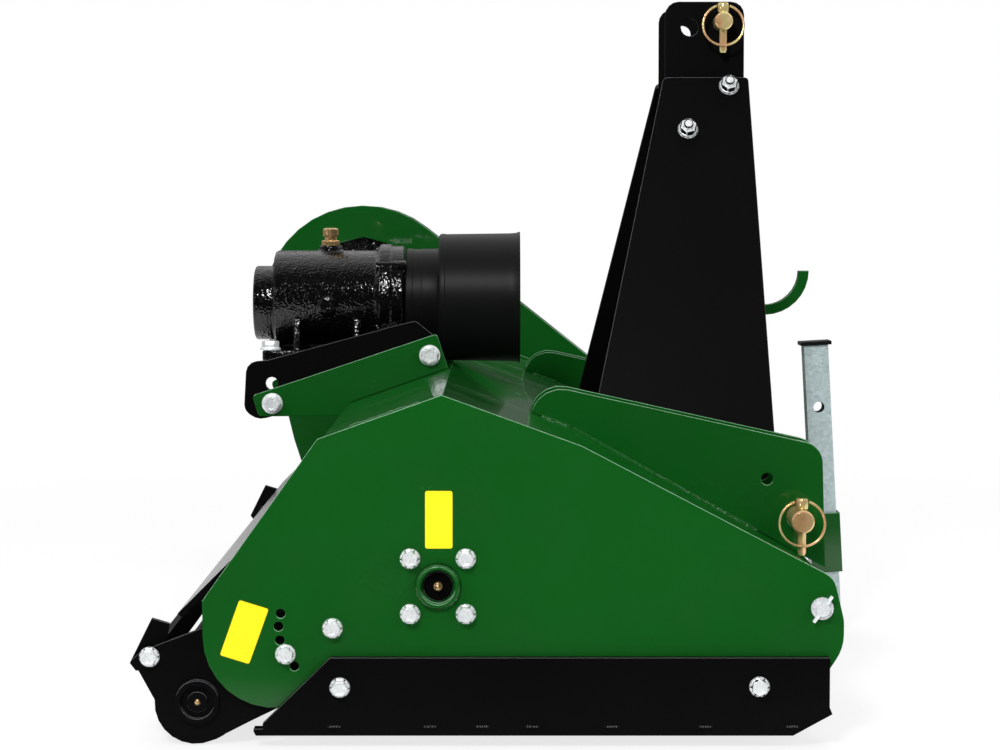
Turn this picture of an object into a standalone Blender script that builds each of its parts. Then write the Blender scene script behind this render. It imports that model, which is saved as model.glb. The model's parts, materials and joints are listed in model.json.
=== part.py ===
"""Tractor mulcher: a three-point flail mower with a belt-driven hammer rotor.

+X points to the tractor, +Y to the belt side and +Z up. Sizes are metres, and
the machine stands on Z = 0 with the middle of its footprint at the origin.
Inside the script X and Z are counted from the rotor's axis.
"""
import bpy
import bmesh
from math import atan2, cos, degrees, hypot, pi, radians, sin, sqrt
from mathutils import Matrix, Vector

# Driving sizes
SEAT = 0.0003            # gap between pieces that touch
BODY_WIDTH = 1.150       # over the side plates
SIDE_T = 0.006           # side plate
DECK_T = 0.004           # folded deck sheet
CHEEK_T = 0.008          # hitch cheek plate
MAST_T = 0.008           # mast leg plate
SKID_T = 0.008
ROTOR_HEIGHT = 0.131     # rotor axis above the skid soles
TUBE_R = 0.036           # rotor tube
TUBE_WALL = 0.006
SHAFT_R = 0.0125
PIVOT_R = 0.064          # flail bolts from the rotor axis
FLAIL_LENGTH = 0.050     # flail bolt to the hammer's edge
FLAIL_WIDTH = 0.106
FLAIL_COUNT = 8
FLAIL_BOLT_R = 0.005
ROLLER_R = 0.039
ROLLER_WALL = 0.005
GREASE_R = 0.003         # bore through the stub axles
ARM_T = 0.006
BOLT_R = 0.004           # M8
FLANGE_R = 0.0088
HEAD_R = 0.0074
HEAD_H = 0.0058
FLANGE_H = 0.002
MAST_BOLT_R = 0.005      # M10, with flanged nuts
NUT_FLANGE_R = 0.0105
NUT_R = 0.0088
NUT_H = 0.0065
SADDLE_BOLT_R = 0.0046
FLAP_COUNT = 3           # front flaps
FLAP_T = 0.005
PIN_R = 0.011            # lower hitch pin
TOP_PIN_R = 0.0095
LEG_W = 0.027            # parking stand tube
LEG_WALL = 0.0025
BELT_COUNT = 2

HALF = BODY_WIDTH / 2
INNER = HALF - SIDE_T    # inner faces of the side plates

GREEN = ((0.012, 0.105, 0.022), 0.38, 0.0)
BLACK = ((0.010, 0.010, 0.010), 0.42, 0.0)
CAST = ((0.012, 0.012, 0.012), 0.30, 0.0)
PLASTIC = ((0.013, 0.013, 0.014), 0.55, 0.0)
RUBBER = ((0.014, 0.014, 0.014), 0.80, 0.0)
ZINC = ((0.62, 0.64, 0.66), 0.32, 0.9)
YELLOW_ZINC = ((0.60, 0.42, 0.20), 0.30, 0.9)
STEEL = ((0.30, 0.29, 0.28), 0.45, 0.9)
BRASS = ((0.55, 0.33, 0.12), 0.35, 0.9)

for old in list(bpy.data.objects):
    bpy.data.objects.remove(old, do_unlink=True)

MODEL = bpy.data.collections.new("tractor_mulcher")
CUTTERS = bpy.data.collections.new("cutters")
bpy.context.scene.collection.children.link(MODEL)
bpy.context.scene.collection.children.link(CUTTERS)
ROOT = bpy.data.objects.new("machine_frame", None)
MODEL.objects.link(ROOT)


def finish(values):
    """A painted, plated or moulded surface: colour, roughness, metallic."""
    colour, rough, metallic = values
    name = "surface_" + "_".join(f"{round(c * 1000):03d}" for c in colour)
    found = bpy.data.materials.get(name)
    if found:
        return found
    made = bpy.data.materials.new(name)
    made.use_nodes = True
    shader = made.node_tree.nodes["Principled BSDF"]
    shader.inputs["Base Color"].default_value = (*colour, 1)
    shader.inputs["Roughness"].default_value = rough
    shader.inputs["Metallic"].default_value = metallic
    return made


def carrier(name, place, parent=None):
    """An empty on a joint's axis that carries a moving body."""
    empty = bpy.data.objects.new(name, None)
    MODEL.objects.link(empty)
    empty.parent = parent or ROOT
    if parent:
        place = Vector(place) - world_place(parent)
    empty.location = place
    return empty


def world_place(obj):
    place = Vector((0, 0, 0))
    while obj and obj is not ROOT:
        place += obj.location
        obj = obj.parent
    return place


def add(name, bm, look, parent=None):
    """Give a bmesh that is drawn in machine coordinates its object."""
    bmesh.ops.recalc_face_normals(bm, faces=bm.faces)
    mesh = bpy.data.meshes.new(name)
    origin = world_place(parent) if parent else Vector((0, 0, 0))
    bmesh.ops.translate(bm, vec=-origin, verts=bm.verts)
    bm.to_mesh(mesh)
    bm.free()
    mesh.shade_smooth()
    mesh.set_sharp_from_angle(angle=radians(35))
    mesh.materials.append(finish(look))
    obj = bpy.data.objects.new(name, mesh)
    MODEL.objects.link(obj)
    obj.parent = parent or ROOT
    return obj


def arc(centre, radius, start, end, steps=8):
    """Points on an arc, in degrees from +X towards +Z."""
    points = []
    for i in range(steps + 1):
        a = radians(start + (end - start) * i / steps)
        points.append((centre[0] + radius * cos(a), centre[1] + radius * sin(a)))
    return points


def rounded(corners, radius, steps=4):
    """An outline with its corners rounded; radius may be one value for each."""
    count = len(corners)
    radii = radius if isinstance(radius, (list, tuple)) else [radius] * count
    points = []
    for i, corner in enumerate(corners):
        here = Vector(corner)
        before = (Vector(corners[i - 1]) - here).normalized()
        after = (Vector(corners[(i + 1) % count]) - here).normalized()
        if radii[i] <= 0:
            points.append(tuple(here))
            continue
        half = before.angle(after) / 2
        reach = radii[i] / abs(sin(half)) * abs(cos(half))
        middle = here + (before + after).normalized() * (radii[i] / sin(half))
        first = here + before * reach - middle
        last = here + after * reach - middle
        a0 = atan2(first.y, first.x)
        turn = atan2(last.y, last.x) - a0
        turn = (turn + pi) % (2 * pi) - pi
        for k in range(steps + 1):
            a = a0 + turn * k / steps
            points.append((middle.x + radii[i] * cos(a), middle.y + radii[i] * sin(a)))
    return points


def ring(centre, radius, steps=12):
    """A round hole's outline."""
    return arc(centre, radius, 0, 360 - 360 / steps, steps - 1)


def cut_sheet(outline, holes, thickness):
    """A flat sheet with holes: a filled 2D curve, made a closed mesh."""
    curve = bpy.data.curves.new("outline", "CURVE")
    curve.dimensions = "2D"
    curve.fill_mode = "BOTH"
    curve.extrude = thickness / 2
    for loop in [outline, *holes]:
        spline = curve.splines.new("POLY")
        spline.points.add(len(loop) - 1)
        for point, (x, y) in zip(spline.points, loop):
            point.co = (x, y, 0, 1)
        spline.use_cyclic_u = True
    drawn = bpy.data.objects.new("outline", curve)
    CUTTERS.objects.link(drawn)
    seen = drawn.evaluated_get(bpy.context.evaluated_depsgraph_get())
    mesh = bpy.data.meshes.new_from_object(seen)
    sheet = bmesh.new()
    sheet.from_mesh(mesh)
    bmesh.ops.remove_doubles(sheet, verts=sheet.verts, dist=1e-6)
    bpy.data.objects.remove(drawn)
    bpy.data.curves.remove(curve)
    bpy.data.meshes.remove(mesh)
    return sheet


def plate(outline, y, thickness, holes=()):
    """A sheet in the X-Z plane, from y to y + thickness."""
    sheet = cut_sheet(outline, holes, thickness)
    bmesh.ops.rotate(sheet, matrix=Matrix.Rotation(pi / 2, 3, "X"), verts=sheet.verts)
    bmesh.ops.translate(sheet, vec=(0, y + thickness / 2, 0), verts=sheet.verts)
    return sheet


def bar(outline, x, length, holes=()):
    """A section in the Y-Z plane, extruded from x to x + length."""
    sheet = cut_sheet(outline, holes, length)
    turn = Matrix(((0, 0, 1), (1, 0, 0), (0, 1, 0)))
    bmesh.ops.rotate(sheet, matrix=turn, verts=sheet.verts)
    bmesh.ops.translate(sheet, vec=(x + length / 2, 0, 0), verts=sheet.verts)
    return sheet


def block(low, high):
    """A box between two corners."""
    box = bmesh.new()
    bmesh.ops.create_cube(box, size=1)
    size = [b - a for a, b in zip(low, high)]
    middle = [(a + b) / 2 for a, b in zip(low, high)]
    bmesh.ops.scale(box, vec=size, verts=box.verts)
    bmesh.ops.translate(box, vec=middle, verts=box.verts)
    return box


def turned(profile, axis="Y", centre=(0, 0, 0), steps=24, closed=False):
    """Turn a profile of (radius, along) points about an axis with a spin.

    An open profile starts and ends on the axis or is capped flat; a closed
    one makes a ring, such as a tube with a bore.
    """
    lathe = bmesh.new()
    verts = [lathe.verts.new((r, 0, z)) for r, z in profile]
    edges = [lathe.edges.new(pair) for pair in zip(verts, verts[1:])]
    if closed:
        edges.append(lathe.edges.new((verts[-1], verts[0])))
    bmesh.ops.spin(lathe, geom=verts + edges, axis=(0, 0, 1), cent=(0, 0, 0),
                   angle=2 * pi, steps=steps, use_merge=True)
    bmesh.ops.remove_doubles(lathe, verts=lathe.verts, dist=1e-6)
    loose = [e for e in lathe.edges if len(e.link_faces) == 1]
    if loose:
        bmesh.ops.holes_fill(lathe, edges=loose, sides=steps + 1)
    point_along(lathe, axis, centre)
    return lathe


def point_along(bm, axis, centre):
    """Lay a shape drawn about Z along X, Y or Z and move it to its centre."""
    if axis == "Y":
        bmesh.ops.rotate(bm, matrix=Matrix.Rotation(-pi / 2, 3, "X"), verts=bm.verts)
    elif axis == "-Y":
        bmesh.ops.rotate(bm, matrix=Matrix.Rotation(pi / 2, 3, "X"), verts=bm.verts)
    elif axis == "X":
        bmesh.ops.rotate(bm, matrix=Matrix.Rotation(pi / 2, 3, "Y"), verts=bm.verts)
    bmesh.ops.translate(bm, vec=centre, verts=bm.verts)


def rod(radius, start, end, axis="Y", centre=(0, 0, 0), steps=16):
    """A plain round bar from start to end along its axis."""
    return turned([(radius, start), (radius, end)], axis, centre, steps)


def pipe(outer, inner, start, end, axis="Y", centre=(0, 0, 0), steps=24):
    """A tube with a bore right through."""
    profile = [(outer, start), (outer, end), (inner, end), (inner, start)]
    return turned(profile, axis, centre, steps, closed=True)


def flange_bolt(centre, axis, grip, radius=BOLT_R):
    """A hex bolt with a round flange. Its head's seat is at the centre and
    its shank runs back along the axis by the grip."""
    scale = radius / BOLT_R
    flange, head = FLANGE_R * scale, HEAD_R * scale
    top = (FLANGE_H + HEAD_H) * scale
    profile = [(radius, -grip), (radius, 0), (flange, 0), (flange, FLANGE_H * scale),
               (head, FLANGE_H * scale * 1.5), (head, top)]
    bolt = turned(profile, "Z", (0, 0, 0), 12)
    make_hex([v for v in bolt.verts if v.co.z > FLANGE_H * scale * 1.2])
    point_along(bolt, axis, centre)
    return bolt


def make_hex(verts):
    """Pull every second vertex of a 12-sided turning in to give six flats."""
    for v in verts:
        if round(degrees(atan2(v.co.y, v.co.x)) / 30) % 2:
            v.co.x *= cos(pi / 6)
            v.co.y *= cos(pi / 6)


def through_bolt(centre, grip):
    """A flange bolt whose head lies on the face at the centre, with a nut
    behind the grip. It points inwards from the belt side."""
    nut = -grip - 0.0080
    profile = [(BOLT_R, nut - 0.002), (BOLT_R, nut), (HEAD_R, nut), (HEAD_R, -grip), (BOLT_R, -grip),
               (BOLT_R, -0.0002), (FLANGE_R, -0.0002), (FLANGE_R, FLANGE_H),
               (HEAD_R, FLANGE_H * 1.5), (HEAD_R, FLANGE_H + HEAD_H)]
    bolt = turned(profile, "Z", (0, 0, 0), 12)
    flats = [v for v in bolt.verts if v.co.z > FLANGE_H * 1.2]
    nuts = [v for v in bolt.verts if v.co.z < -grip + 1e-5 and hypot(v.co.x, v.co.y) > BOLT_R * 1.2]
    make_hex(flats + nuts)
    point_along(bolt, "Y", centre)
    return bolt


def wire(points, radius, cyclic=False, sides=1):
    """A bent round wire: a poly curve with a round bevel."""
    curve = bpy.data.curves.new("wire", "CURVE")
    curve.dimensions = "3D"
    curve.bevel_depth = radius
    curve.bevel_resolution = sides
    curve.use_fill_caps = not cyclic
    spline = curve.splines.new("POLY")
    spline.points.add(len(points) - 1)
    for point, place in zip(spline.points, points):
        point.co = (*place, 1)
    spline.use_cyclic_u = cyclic
    drawn = bpy.data.objects.new("wire", curve)
    CUTTERS.objects.link(drawn)
    seen = drawn.evaluated_get(bpy.context.evaluated_depsgraph_get())
    mesh = bpy.data.meshes.new_from_object(seen)
    bent = bmesh.new()
    bent.from_mesh(mesh)
    bmesh.ops.remove_doubles(bent, verts=bent.verts, dist=1e-6)
    bpy.data.objects.remove(drawn)
    bpy.data.curves.remove(curve)
    bpy.data.meshes.remove(mesh)
    return bent


def boolean(base, cutter, operation):
    """Cut or join two closed bmeshes exactly."""
    objects = []
    for bm in (base, cutter):
        bmesh.ops.recalc_face_normals(bm, faces=bm.faces)
        mesh = bpy.data.meshes.new("operand")
        bm.to_mesh(mesh)
        bm.free()
        obj = bpy.data.objects.new("operand", mesh)
        CUTTERS.objects.link(obj)
        objects.append(obj)
    change = objects[0].modifiers.new("cut", "BOOLEAN")
    change.operation = operation
    change.solver = "EXACT"
    change.object = objects[1]
    seen = objects[0].evaluated_get(bpy.context.evaluated_depsgraph_get())
    mesh = bpy.data.meshes.new_from_object(seen)
    result = bmesh.new()
    result.from_mesh(mesh)
    bmesh.ops.remove_doubles(result, verts=result.verts, dist=1e-6)
    for obj in objects:
        data = obj.data
        bpy.data.objects.remove(obj)
        bpy.data.meshes.remove(data)
    bpy.data.meshes.remove(mesh)
    return result


def union(first, *others):
    for other in others:
        first = boolean(first, other, "UNION")
    return first


def mirrored(bm, side):
    """The same shape for the belt side (+1) or mirrored for the left (-1)."""
    if side < 0:
        bmesh.ops.scale(bm, vec=(1, -1, 1), verts=bm.verts)
        bmesh.ops.reverse_faces(bm, faces=bm.faces)
    return bm


def cut(base, *cutters):
    for cutter in cutters:
        base = boolean(base, cutter, "DIFFERENCE")
    return base


# Casing: two side plates and the folded deck between them
APEX = (0.0033, 0.1684)
REAR_TOP = (-0.1057, 0.1297)
REAR_LOW = (-0.2074, -0.0130)
FRONT_BEND = (0.1263, 0.1237)
FRONT_TOP = (0.3480, 0.0075)
FRONT_X = 0.3570
PLATE_LOW = -0.1000
LOBE = (-0.1440, -0.0450)
LOBE_R = 0.0630
GUARD_HINGE = (-0.1292, 0.0717)      # the rear guard's hinge
STUD_R = 0.0040
PIVOT = (-0.0928, -0.0372)          # roller arm's pivot bolt
ADJUST_R = 0.0475                   # row of height holes round the pivot
ADJUST_ANGLES = (164, 178, 193, 209, 225)
PINNED_HOLE = 3                     # the photographed setting
BEARING_SPACING = 0.0490
BEARING_HOLE_R = 0.0200
FLAP_ROD = (0.3376, -0.0194)
FLAP_ROD_R = 0.006
SKID_BOLTS = ((-0.0861, -0.0883), (0.2821, -0.0875))
BOLT_CLEAR = 0.0003


def bearing_bolts():
    step = BEARING_SPACING / 2
    return [(x, z) for x in (-step, step) for z in (-step, step)]


def adjust_holes():
    return [(PIVOT[0] + ADJUST_R * cos(radians(a)), PIVOT[1] + ADJUST_R * sin(radians(a)))
            for a in ADJUST_ANGLES]


def side_outline():
    """Seen from the left: apex, front slope, rounded nose, sole, roller lobe."""
    nose = rounded([FRONT_BEND, FRONT_TOP, (FRONT_X, -0.030), (FRONT_X, PLATE_LOW + 0.045),
                    (FRONT_X - 0.030, PLATE_LOW), (0, PLATE_LOW)], [0, 0.018, 0.030, 0.040, 0.02, 0])
    lobe = arc(LOBE, LOBE_R, 300, 180, 10)
    return [APEX, *nose[:-1], (-0.100, PLATE_LOW), *lobe, REAR_LOW, REAR_TOP]


def side_plate(name, side):
    """The plate with the two bolts that hold a roller arm and the stud that
    carries the rear guard. The lock bolt ends at the plate's inner face, so
    that the arm can swing. side is -1 for the left plate, +1 for the belt side."""
    bolt_hole = BOLT_R + BOLT_CLEAR
    holes = [ring((0, 0), BEARING_HOLE_R, 20), ring(FLAP_ROD, FLAP_ROD_R + BOLT_CLEAR, 12)]
    free = [p for i, p in enumerate(adjust_holes()) if i != PINNED_HOLE]
    holes += [ring(p, bolt_hole) for p in [*bearing_bolts(), *free, *SKID_BOLTS]]
    x, z = adjust_holes()[PINNED_HOLE]
    bolts = [through_bolt((PIVOT[0], HALF, PIVOT[1]), SIDE_T + ARM_T + 2 * SEAT),
             flange_bolt((x, HALF - 0.0002, z), "Y", SIDE_T - 0.0002)]
    stud = rod(STUD_R, INNER - 0.024, INNER + 0.002, "Y", (GUARD_HINGE[0], 0, GUARD_HINGE[1]), 12)
    sheet = plate(side_outline(), INNER, SIDE_T, holes)
    add(name, mirrored(union(sheet, *bolts, stud), side), GREEN)


DECK_INSET = 0.003
NOSE_INSET = 0.011         # the front slope runs a little steeper than the plates
DECK_REAR_X = -0.1220


def deck_tops(lift=0.0):
    """The deck's upper face from the rear lip to the nose."""
    lip = REAR_TOP[1] + (DECK_REAR_X - REAR_TOP[0]) * (REAR_TOP[1] - REAR_LOW[1]) \
        / (REAR_TOP[0] - REAR_LOW[0]) - DECK_INSET
    inset = [(x, z - DECK_INSET + lift) for x, z in (REAR_TOP, APEX, FRONT_BEND, FRONT_TOP)]
    inset[0] = (inset[0][0] + DECK_INSET, inset[0][1] + DECK_INSET / 2)
    inset[-1] = (FRONT_TOP[0], FRONT_TOP[1] - NOSE_INSET + lift)
    return [(DECK_REAR_X + DECK_INSET, lip + lift), *inset]


def under_deck():
    """A cutter that fills everything below the deck's upper face."""
    tops = deck_tops(SEAT)
    slab = [(tops[0][0] - 0.2, tops[0][1] - 0.28), *tops, (0.60, tops[-1][1] - 0.13),
            (0.60, -0.40), (-0.40, -0.40)]
    return plate(slab, -0.7, 1.4)


def deck():
    """One 4 mm sheet with three folds, welded between the side plates."""
    tops = deck_tops()
    under = [(x + (DECK_T * 0.6 if i == 0 else 0), z - DECK_T * 1.12) for i, (x, z) in enumerate(tops)]
    sheet = plate([*tops, *reversed(under)], -INNER + SEAT, 2 * (INNER - SEAT))
    add("deck_sheet", sheet, GREEN)


# Skids: an upright on each side plate, with a runner turned in under it
SKID_TOP = -0.0620
SOLE = -ROTOR_HEIGHT
SKID_REAR = (-0.0945, -0.0620)
SKID_REAR_LOW = (-0.1540, SOLE + 0.0105)
SKID_NOSE_X = 0.3440
RUNNER_T = 0.006
RUNNER_W = 0.045
RUNNER_RISE_X = 0.3120
RUNNER_NOTCH_X = -0.1180            # its inner rear corner is cut away for the arm


def skid(name, side):
    upright = [SKID_REAR, SKID_REAR_LOW, (SKID_REAR_LOW[0], SOLE + RUNNER_T / 2),
               (RUNNER_RISE_X, SOLE + RUNNER_T / 2), (SKID_NOSE_X, SOLE + 0.019 + RUNNER_T / 2),
               (SKID_NOSE_X, SKID_TOP)]
    runner = [(-0.1620, SOLE + 0.0035), (-0.1600, SOLE), (RUNNER_RISE_X, SOLE),
              (SKID_NOSE_X + 0.0025, SOLE + 0.019), (SKID_NOSE_X, SOLE + 0.019 + RUNNER_T),
              (RUNNER_RISE_X - 0.001, SOLE + RUNNER_T), (-0.1620, SOLE + RUNNER_T)]
    inner = side * (HALF + SEAT)
    y = inner if side > 0 else inner - SKID_T
    wall = plate(upright, y, SKID_T)
    low = y if side < 0 else y + SKID_T - RUNNER_W
    notch = block((-0.2, -INNER, SOLE - 0.01), (RUNNER_NOTCH_X, INNER, SOLE + RUNNER_T + 0.01))
    floor = cut(plate(runner, low, RUNNER_W), notch)
    face = y if side < 0 else y + SKID_T
    bolts = [flange_bolt((x, face, z), "Y" if side > 0 else "-Y", SKID_T + SEAT + SIDE_T + 0.010)
             for x, z in SKID_BOLTS]
    return add(name, union(wall, floor, *bolts), BLACK)


# Rotor bearings: a green flanged housing bolted to each side plate
BEARING_PLATE = 0.0352
HUB_BORE_R = 0.0130
HUB_RECESS_R = 0.0155
HUB_PROUD = 0.007
BEARING_FLANGE_T = 0.010


def bearing_housing(name, side):
    """A square cast flange inside the plate, its round boss through the plate
    and the four bolts whose heads lie outside."""
    inner = INNER - SEAT
    corner = BEARING_PLATE
    square = [(-corner, -corner), (corner, -corner), (corner, corner), (-corner, corner)]
    flange = plate(rounded(square, 0.012, 3), inner - BEARING_FLANGE_T, BEARING_FLANGE_T)
    boss = turned([(BEARING_HOLE_R - SEAT, inner - 0.005), (BEARING_HOLE_R - SEAT, HALF + 0.005),
                   (BEARING_HOLE_R - 0.002, HALF + HUB_PROUD)])
    bolts = [flange_bolt((x, HALF + SEAT, z), "Y", SIDE_T + 0.008) for x, z in bearing_bolts()]
    bore = turned([(HUB_BORE_R, inner - 0.030), (HUB_BORE_R, HALF - 0.003), (HUB_RECESS_R, HALF - 0.003),
                   (HUB_RECESS_R, HALF + 0.030)])
    return add(name, mirrored(cut(union(flange, boss, *bolts), bore), side), GREEN)


side_plate("left_side_plate", -1)
side_plate("belt_side_plate", 1)
deck()
skid("left_skid", -1)
skid("belt_side_skid", 1)
bearing_housing("left_bearing_housing", -1)
bearing_housing("belt_side_bearing_housing", 1)


# Three-point hitch: two pairs of cheeks on the deck's front slope
CHEEK_OUTER = 0.355
CHEEK_INNER = 0.309
HITCH_PIN = (0.3408, 0.0358)
STOP_HOLE = (0.3111, 0.0721)
CLIP_Y = CHEEK_OUTER + 0.0350
HITCH_PIN_END = CLIP_Y + 0.0120


def cheek(face, side):
    """One cheek; face is how far its outer side lies from the middle."""
    outline = rounded([(0.0833, 0.0800), (0.0833, 0.1660), (0.3640, 0.1040),
                       (0.3680, -0.0300), (0.3000, -0.0300)], [0, 0.030, 0.020, 0, 0], 5)
    y = side * face if side < 0 else side * face - CHEEK_T
    holes = [ring(HITCH_PIN, PIN_R + SEAT, 16), ring(STOP_HOLE, 0.006)]
    return cut(plate(outline, y, CHEEK_T, holes), under_deck())


def clip_pin(x, z, y, host):
    """The shank and head of a linchpin that hangs through a hitch pin."""
    seat = host + SEAT
    return turned([(CLIP_R - 0.0012, -CLIP_LENGTH), (CLIP_R, 0.002 - CLIP_LENGTH), (CLIP_R, seat), (CLIP_HEAD_R, seat),
                   (CLIP_HEAD_R, host + CLIP_EYE + 0.0035)], "Z", (x, y, z), 10)


CLIP_R = 0.0040
CLIP_LENGTH = 0.0335
CLIP_HEAD_R = 0.0058
CLIP_RING_R = 0.0215
CLIP_WIRE_R = 0.0016
CLIP_EYE = 0.0068        # ring's pivot above the pin it locks


def clip_ring(name, x, eye, y, out, body):
    """The spring ring: its two ends sit in the head, and it drops round the
    hitch pin's end and lies against the outer side of the shank."""
    head = CLIP_HEAD_R + 3 * SEAT
    rise = sqrt(CLIP_RING_R ** 2 - head ** 2)
    first = degrees(atan2(rise, head))
    tilt = atan2(CLIP_R + CLIP_WIRE_R + 2 * SEAT, CLIP_RING_R + rise)
    loop = []
    for px, pz in arc((0, -rise), CLIP_RING_R, first, -180 - first, 22):
        loop.append((x + px, y - out * pz * sin(tilt), eye + pz * cos(tilt)))
    add(name, wire(loop, CLIP_WIRE_R), YELLOW_ZINC, body)


def hitch_pin(side):
    """A stepped pin through a pair of cheeks, with a cross hole for its clip."""
    low, high = CHEEK_INNER - CHEEK_T - 0.010, HITCH_PIN_END
    pin = turned([(PIN_R + 0.004, low), (PIN_R + 0.004, low + 0.0095), (PIN_R, low + 0.0095),
                  (PIN_R, high - 0.0015), (PIN_R - 0.0015, high)], "Y",
                 (HITCH_PIN[0], 0, HITCH_PIN[1]), 20)
    hole = rod(CLIP_R + SEAT, -0.03, 0.03, "Z", (HITCH_PIN[0], CLIP_Y, HITCH_PIN[1]), 12)
    return mirrored(cut(pin, hole), side)


# Mast: two inclined legs, and two upright head plates for the top link
MAST_TOP_Z = 0.4670
MAST_TOP_Y = 0.0600
MAST_TILT = radians(26.3)
HEAD_TOP_Z = 0.5510
TOP_PIN = (0.2905, 0.5290)
TOP_HOLE = (0.2562, 0.5240)
MAST_BOLTS = ((0.2972, 0.4576), (0.2522, 0.4109))
HEAD_LOW_Z = 0.3850
TOP_PIN_HALF = 0.0860


def lean(bm, side):
    """Lean a plate that is drawn upright at y = 0 about the mast's top edge."""
    bmesh.ops.rotate(bm, cent=(0, 0, MAST_TOP_Z), matrix=Matrix.Rotation(side * MAST_TILT, 3, "X"),
                     verts=bm.verts)
    bmesh.ops.translate(bm, vec=(0, side * MAST_TOP_Y, 0), verts=bm.verts)
    return bm


def along_leg(z):
    """A height on the leaning plate, measured along the plate."""
    return MAST_TOP_Z - (MAST_TOP_Z - z) / cos(MAST_TILT)


def mast_leg(name, side):
    """A tapered plate from the deck to the mast's head."""
    foot = along_leg(-0.060)
    outline = rounded([(0.2280, MAST_TOP_Z), (0.3180, MAST_TOP_Z), (0.3345, foot), (0.1080, foot)],
                      [0.006, 0.004, 0, 0], 3)
    y = 0 if side > 0 else -MAST_T
    holes = [ring((x, along_leg(z)), MAST_BOLT_R + BOLT_CLEAR) for x, z in MAST_BOLTS]
    leg = lean(plate(outline, y, MAST_T, holes), side)
    add(name, cut(leg, under_deck()), BLACK)


def head_plate(side):
    """Upright at the top for the link pin, and bent to lie inside the leg."""
    inner = MAST_TOP_Y - MAST_T * 1.1
    section = [(inner, HEAD_TOP_Z), (inner + MAST_T, HEAD_TOP_Z)]
    skin = MAST_TOP_Y - SEAT / cos(MAST_TILT)
    slope = sin(MAST_TILT) / cos(MAST_TILT)
    knee = MAST_TOP_Z + (skin - inner - MAST_T) / slope
    low = skin + (MAST_TOP_Z - HEAD_LOW_Z) * slope
    thick = MAST_T / cos(MAST_TILT)
    section += [(inner + MAST_T, knee), (low, HEAD_LOW_Z), (low - thick, HEAD_LOW_Z),
                (inner, knee + (MAST_T - thick) / slope * -1)]
    body = bar([(side * y, z) for y, z in section], 0.2302, 0.0838)
    profile = rounded([(0.2302, HEAD_TOP_Z), (0.3140, HEAD_TOP_Z), (0.3140, HEAD_LOW_Z - 0.01),
                       (0.2302, HEAD_LOW_Z - 0.01)], [0.014, 0.014, 0, 0], 4)
    trimmed = boolean(body, plate(profile, -0.2, 0.4), "INTERSECT")
    cutters = [rod(TOP_PIN_R + SEAT, -0.2, 0.2, "Y", (TOP_PIN[0], 0, TOP_PIN[1]), 16),
               rod(TOP_PIN_R, -0.2, 0.2, "Y", (TOP_HOLE[0], 0, TOP_HOLE[1]), 16)]
    return union(cut(trimmed, *cutters), *[mast_bolt(x, z, side) for x, z in MAST_BOLTS])


def mast_bolt(x, z, side):
    """A bolt square to the leg, from the head plate out through the leg, with
    its flanged nut and the thread's end outside."""
    seat = MAST_T + SEAT
    head = FLANGE_H + NUT_H
    profile = [(MAST_BOLT_R, -MAST_T), (MAST_BOLT_R, seat), (NUT_FLANGE_R, seat), (NUT_FLANGE_R, seat + FLANGE_H),
               (NUT_R, seat + FLANGE_H), (NUT_R, seat + head), (MAST_BOLT_R, seat + head),
               (MAST_BOLT_R, seat + head + 0.005)]
    return lean(turned(profile, "Y" if side > 0 else "-Y", (x, 0, along_leg(z)), 12), side)


HOOK_ROOT = (0.3000, 0.2180)
HOOK_CENTRE = (0.3430, 0.2640)
HOOK_INNER_R = 0.0370
HOOK_OUTER_R = 0.0480


def shaft_hook():
    """The bar that braces the legs, and the hook that parks the drive shaft."""
    reach = MAST_TOP_Y + (MAST_TOP_Z - HOOK_ROOT[1]) * sin(MAST_TILT) / cos(MAST_TILT)
    brace = rod(0.010, -reach - 0.02, reach + 0.02, "Y", (HOOK_ROOT[0], 0, HOOK_ROOT[1]), 16)
    for side in (-1, 1):
        wall = plate([(0.20, 0.10), (0.40, 0.10), (0.40, MAST_TOP_Z), (0.20, MAST_TOP_Z)],
                     -SEAT if side > 0 else -0.0597, 0.06)
        brace = cut(brace, lean(wall, side))
    shape = [*arc(HOOK_CENTRE, HOOK_OUTER_R, 270, 360, 8), *arc(HOOK_CENTRE, HOOK_INNER_R, 360, 270, 8),
             (HOOK_ROOT[0], HOOK_CENTRE[1] - HOOK_INNER_R), (HOOK_ROOT[0], HOOK_CENTRE[1] - HOOK_OUTER_R)]
    return union(brace, plate(shape, -0.006, 0.012))


for word, side in (("left", -1), ("belt_side", 1)):
    add(word + "_outer_cheek", cheek(CHEEK_OUTER, side), GREEN)
    add(word + "_inner_cheek", cheek(CHEEK_INNER, side), GREEN)
    add(word + "_hitch_pin", hitch_pin(side), YELLOW_ZINC)
    mast_leg(word + "_mast_leg", side)
    add(word + "_head_plate", head_plate(side), BLACK)
add("shaft_hook", shaft_hook(), GREEN)

top_pin = turned([(0.015, -TOP_PIN_HALF), (0.015, -TOP_PIN_HALF + 0.008), (TOP_PIN_R, -TOP_PIN_HALF + 0.008),
                  (TOP_PIN_R, TOP_PIN_HALF - 0.0015), (TOP_PIN_R - 0.0015, TOP_PIN_HALF)], "-Y",
                 (TOP_PIN[0], 0, TOP_PIN[1]), 20)
TOP_CLIP_Y = -TOP_PIN_HALF + 0.012
top_hole = rod(CLIP_R + SEAT, -0.03, 0.03, "Z", (TOP_PIN[0], TOP_CLIP_Y, TOP_PIN[1]), 12)
add("top_link_pin", cut(top_pin, top_hole), YELLOW_ZINC)

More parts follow.
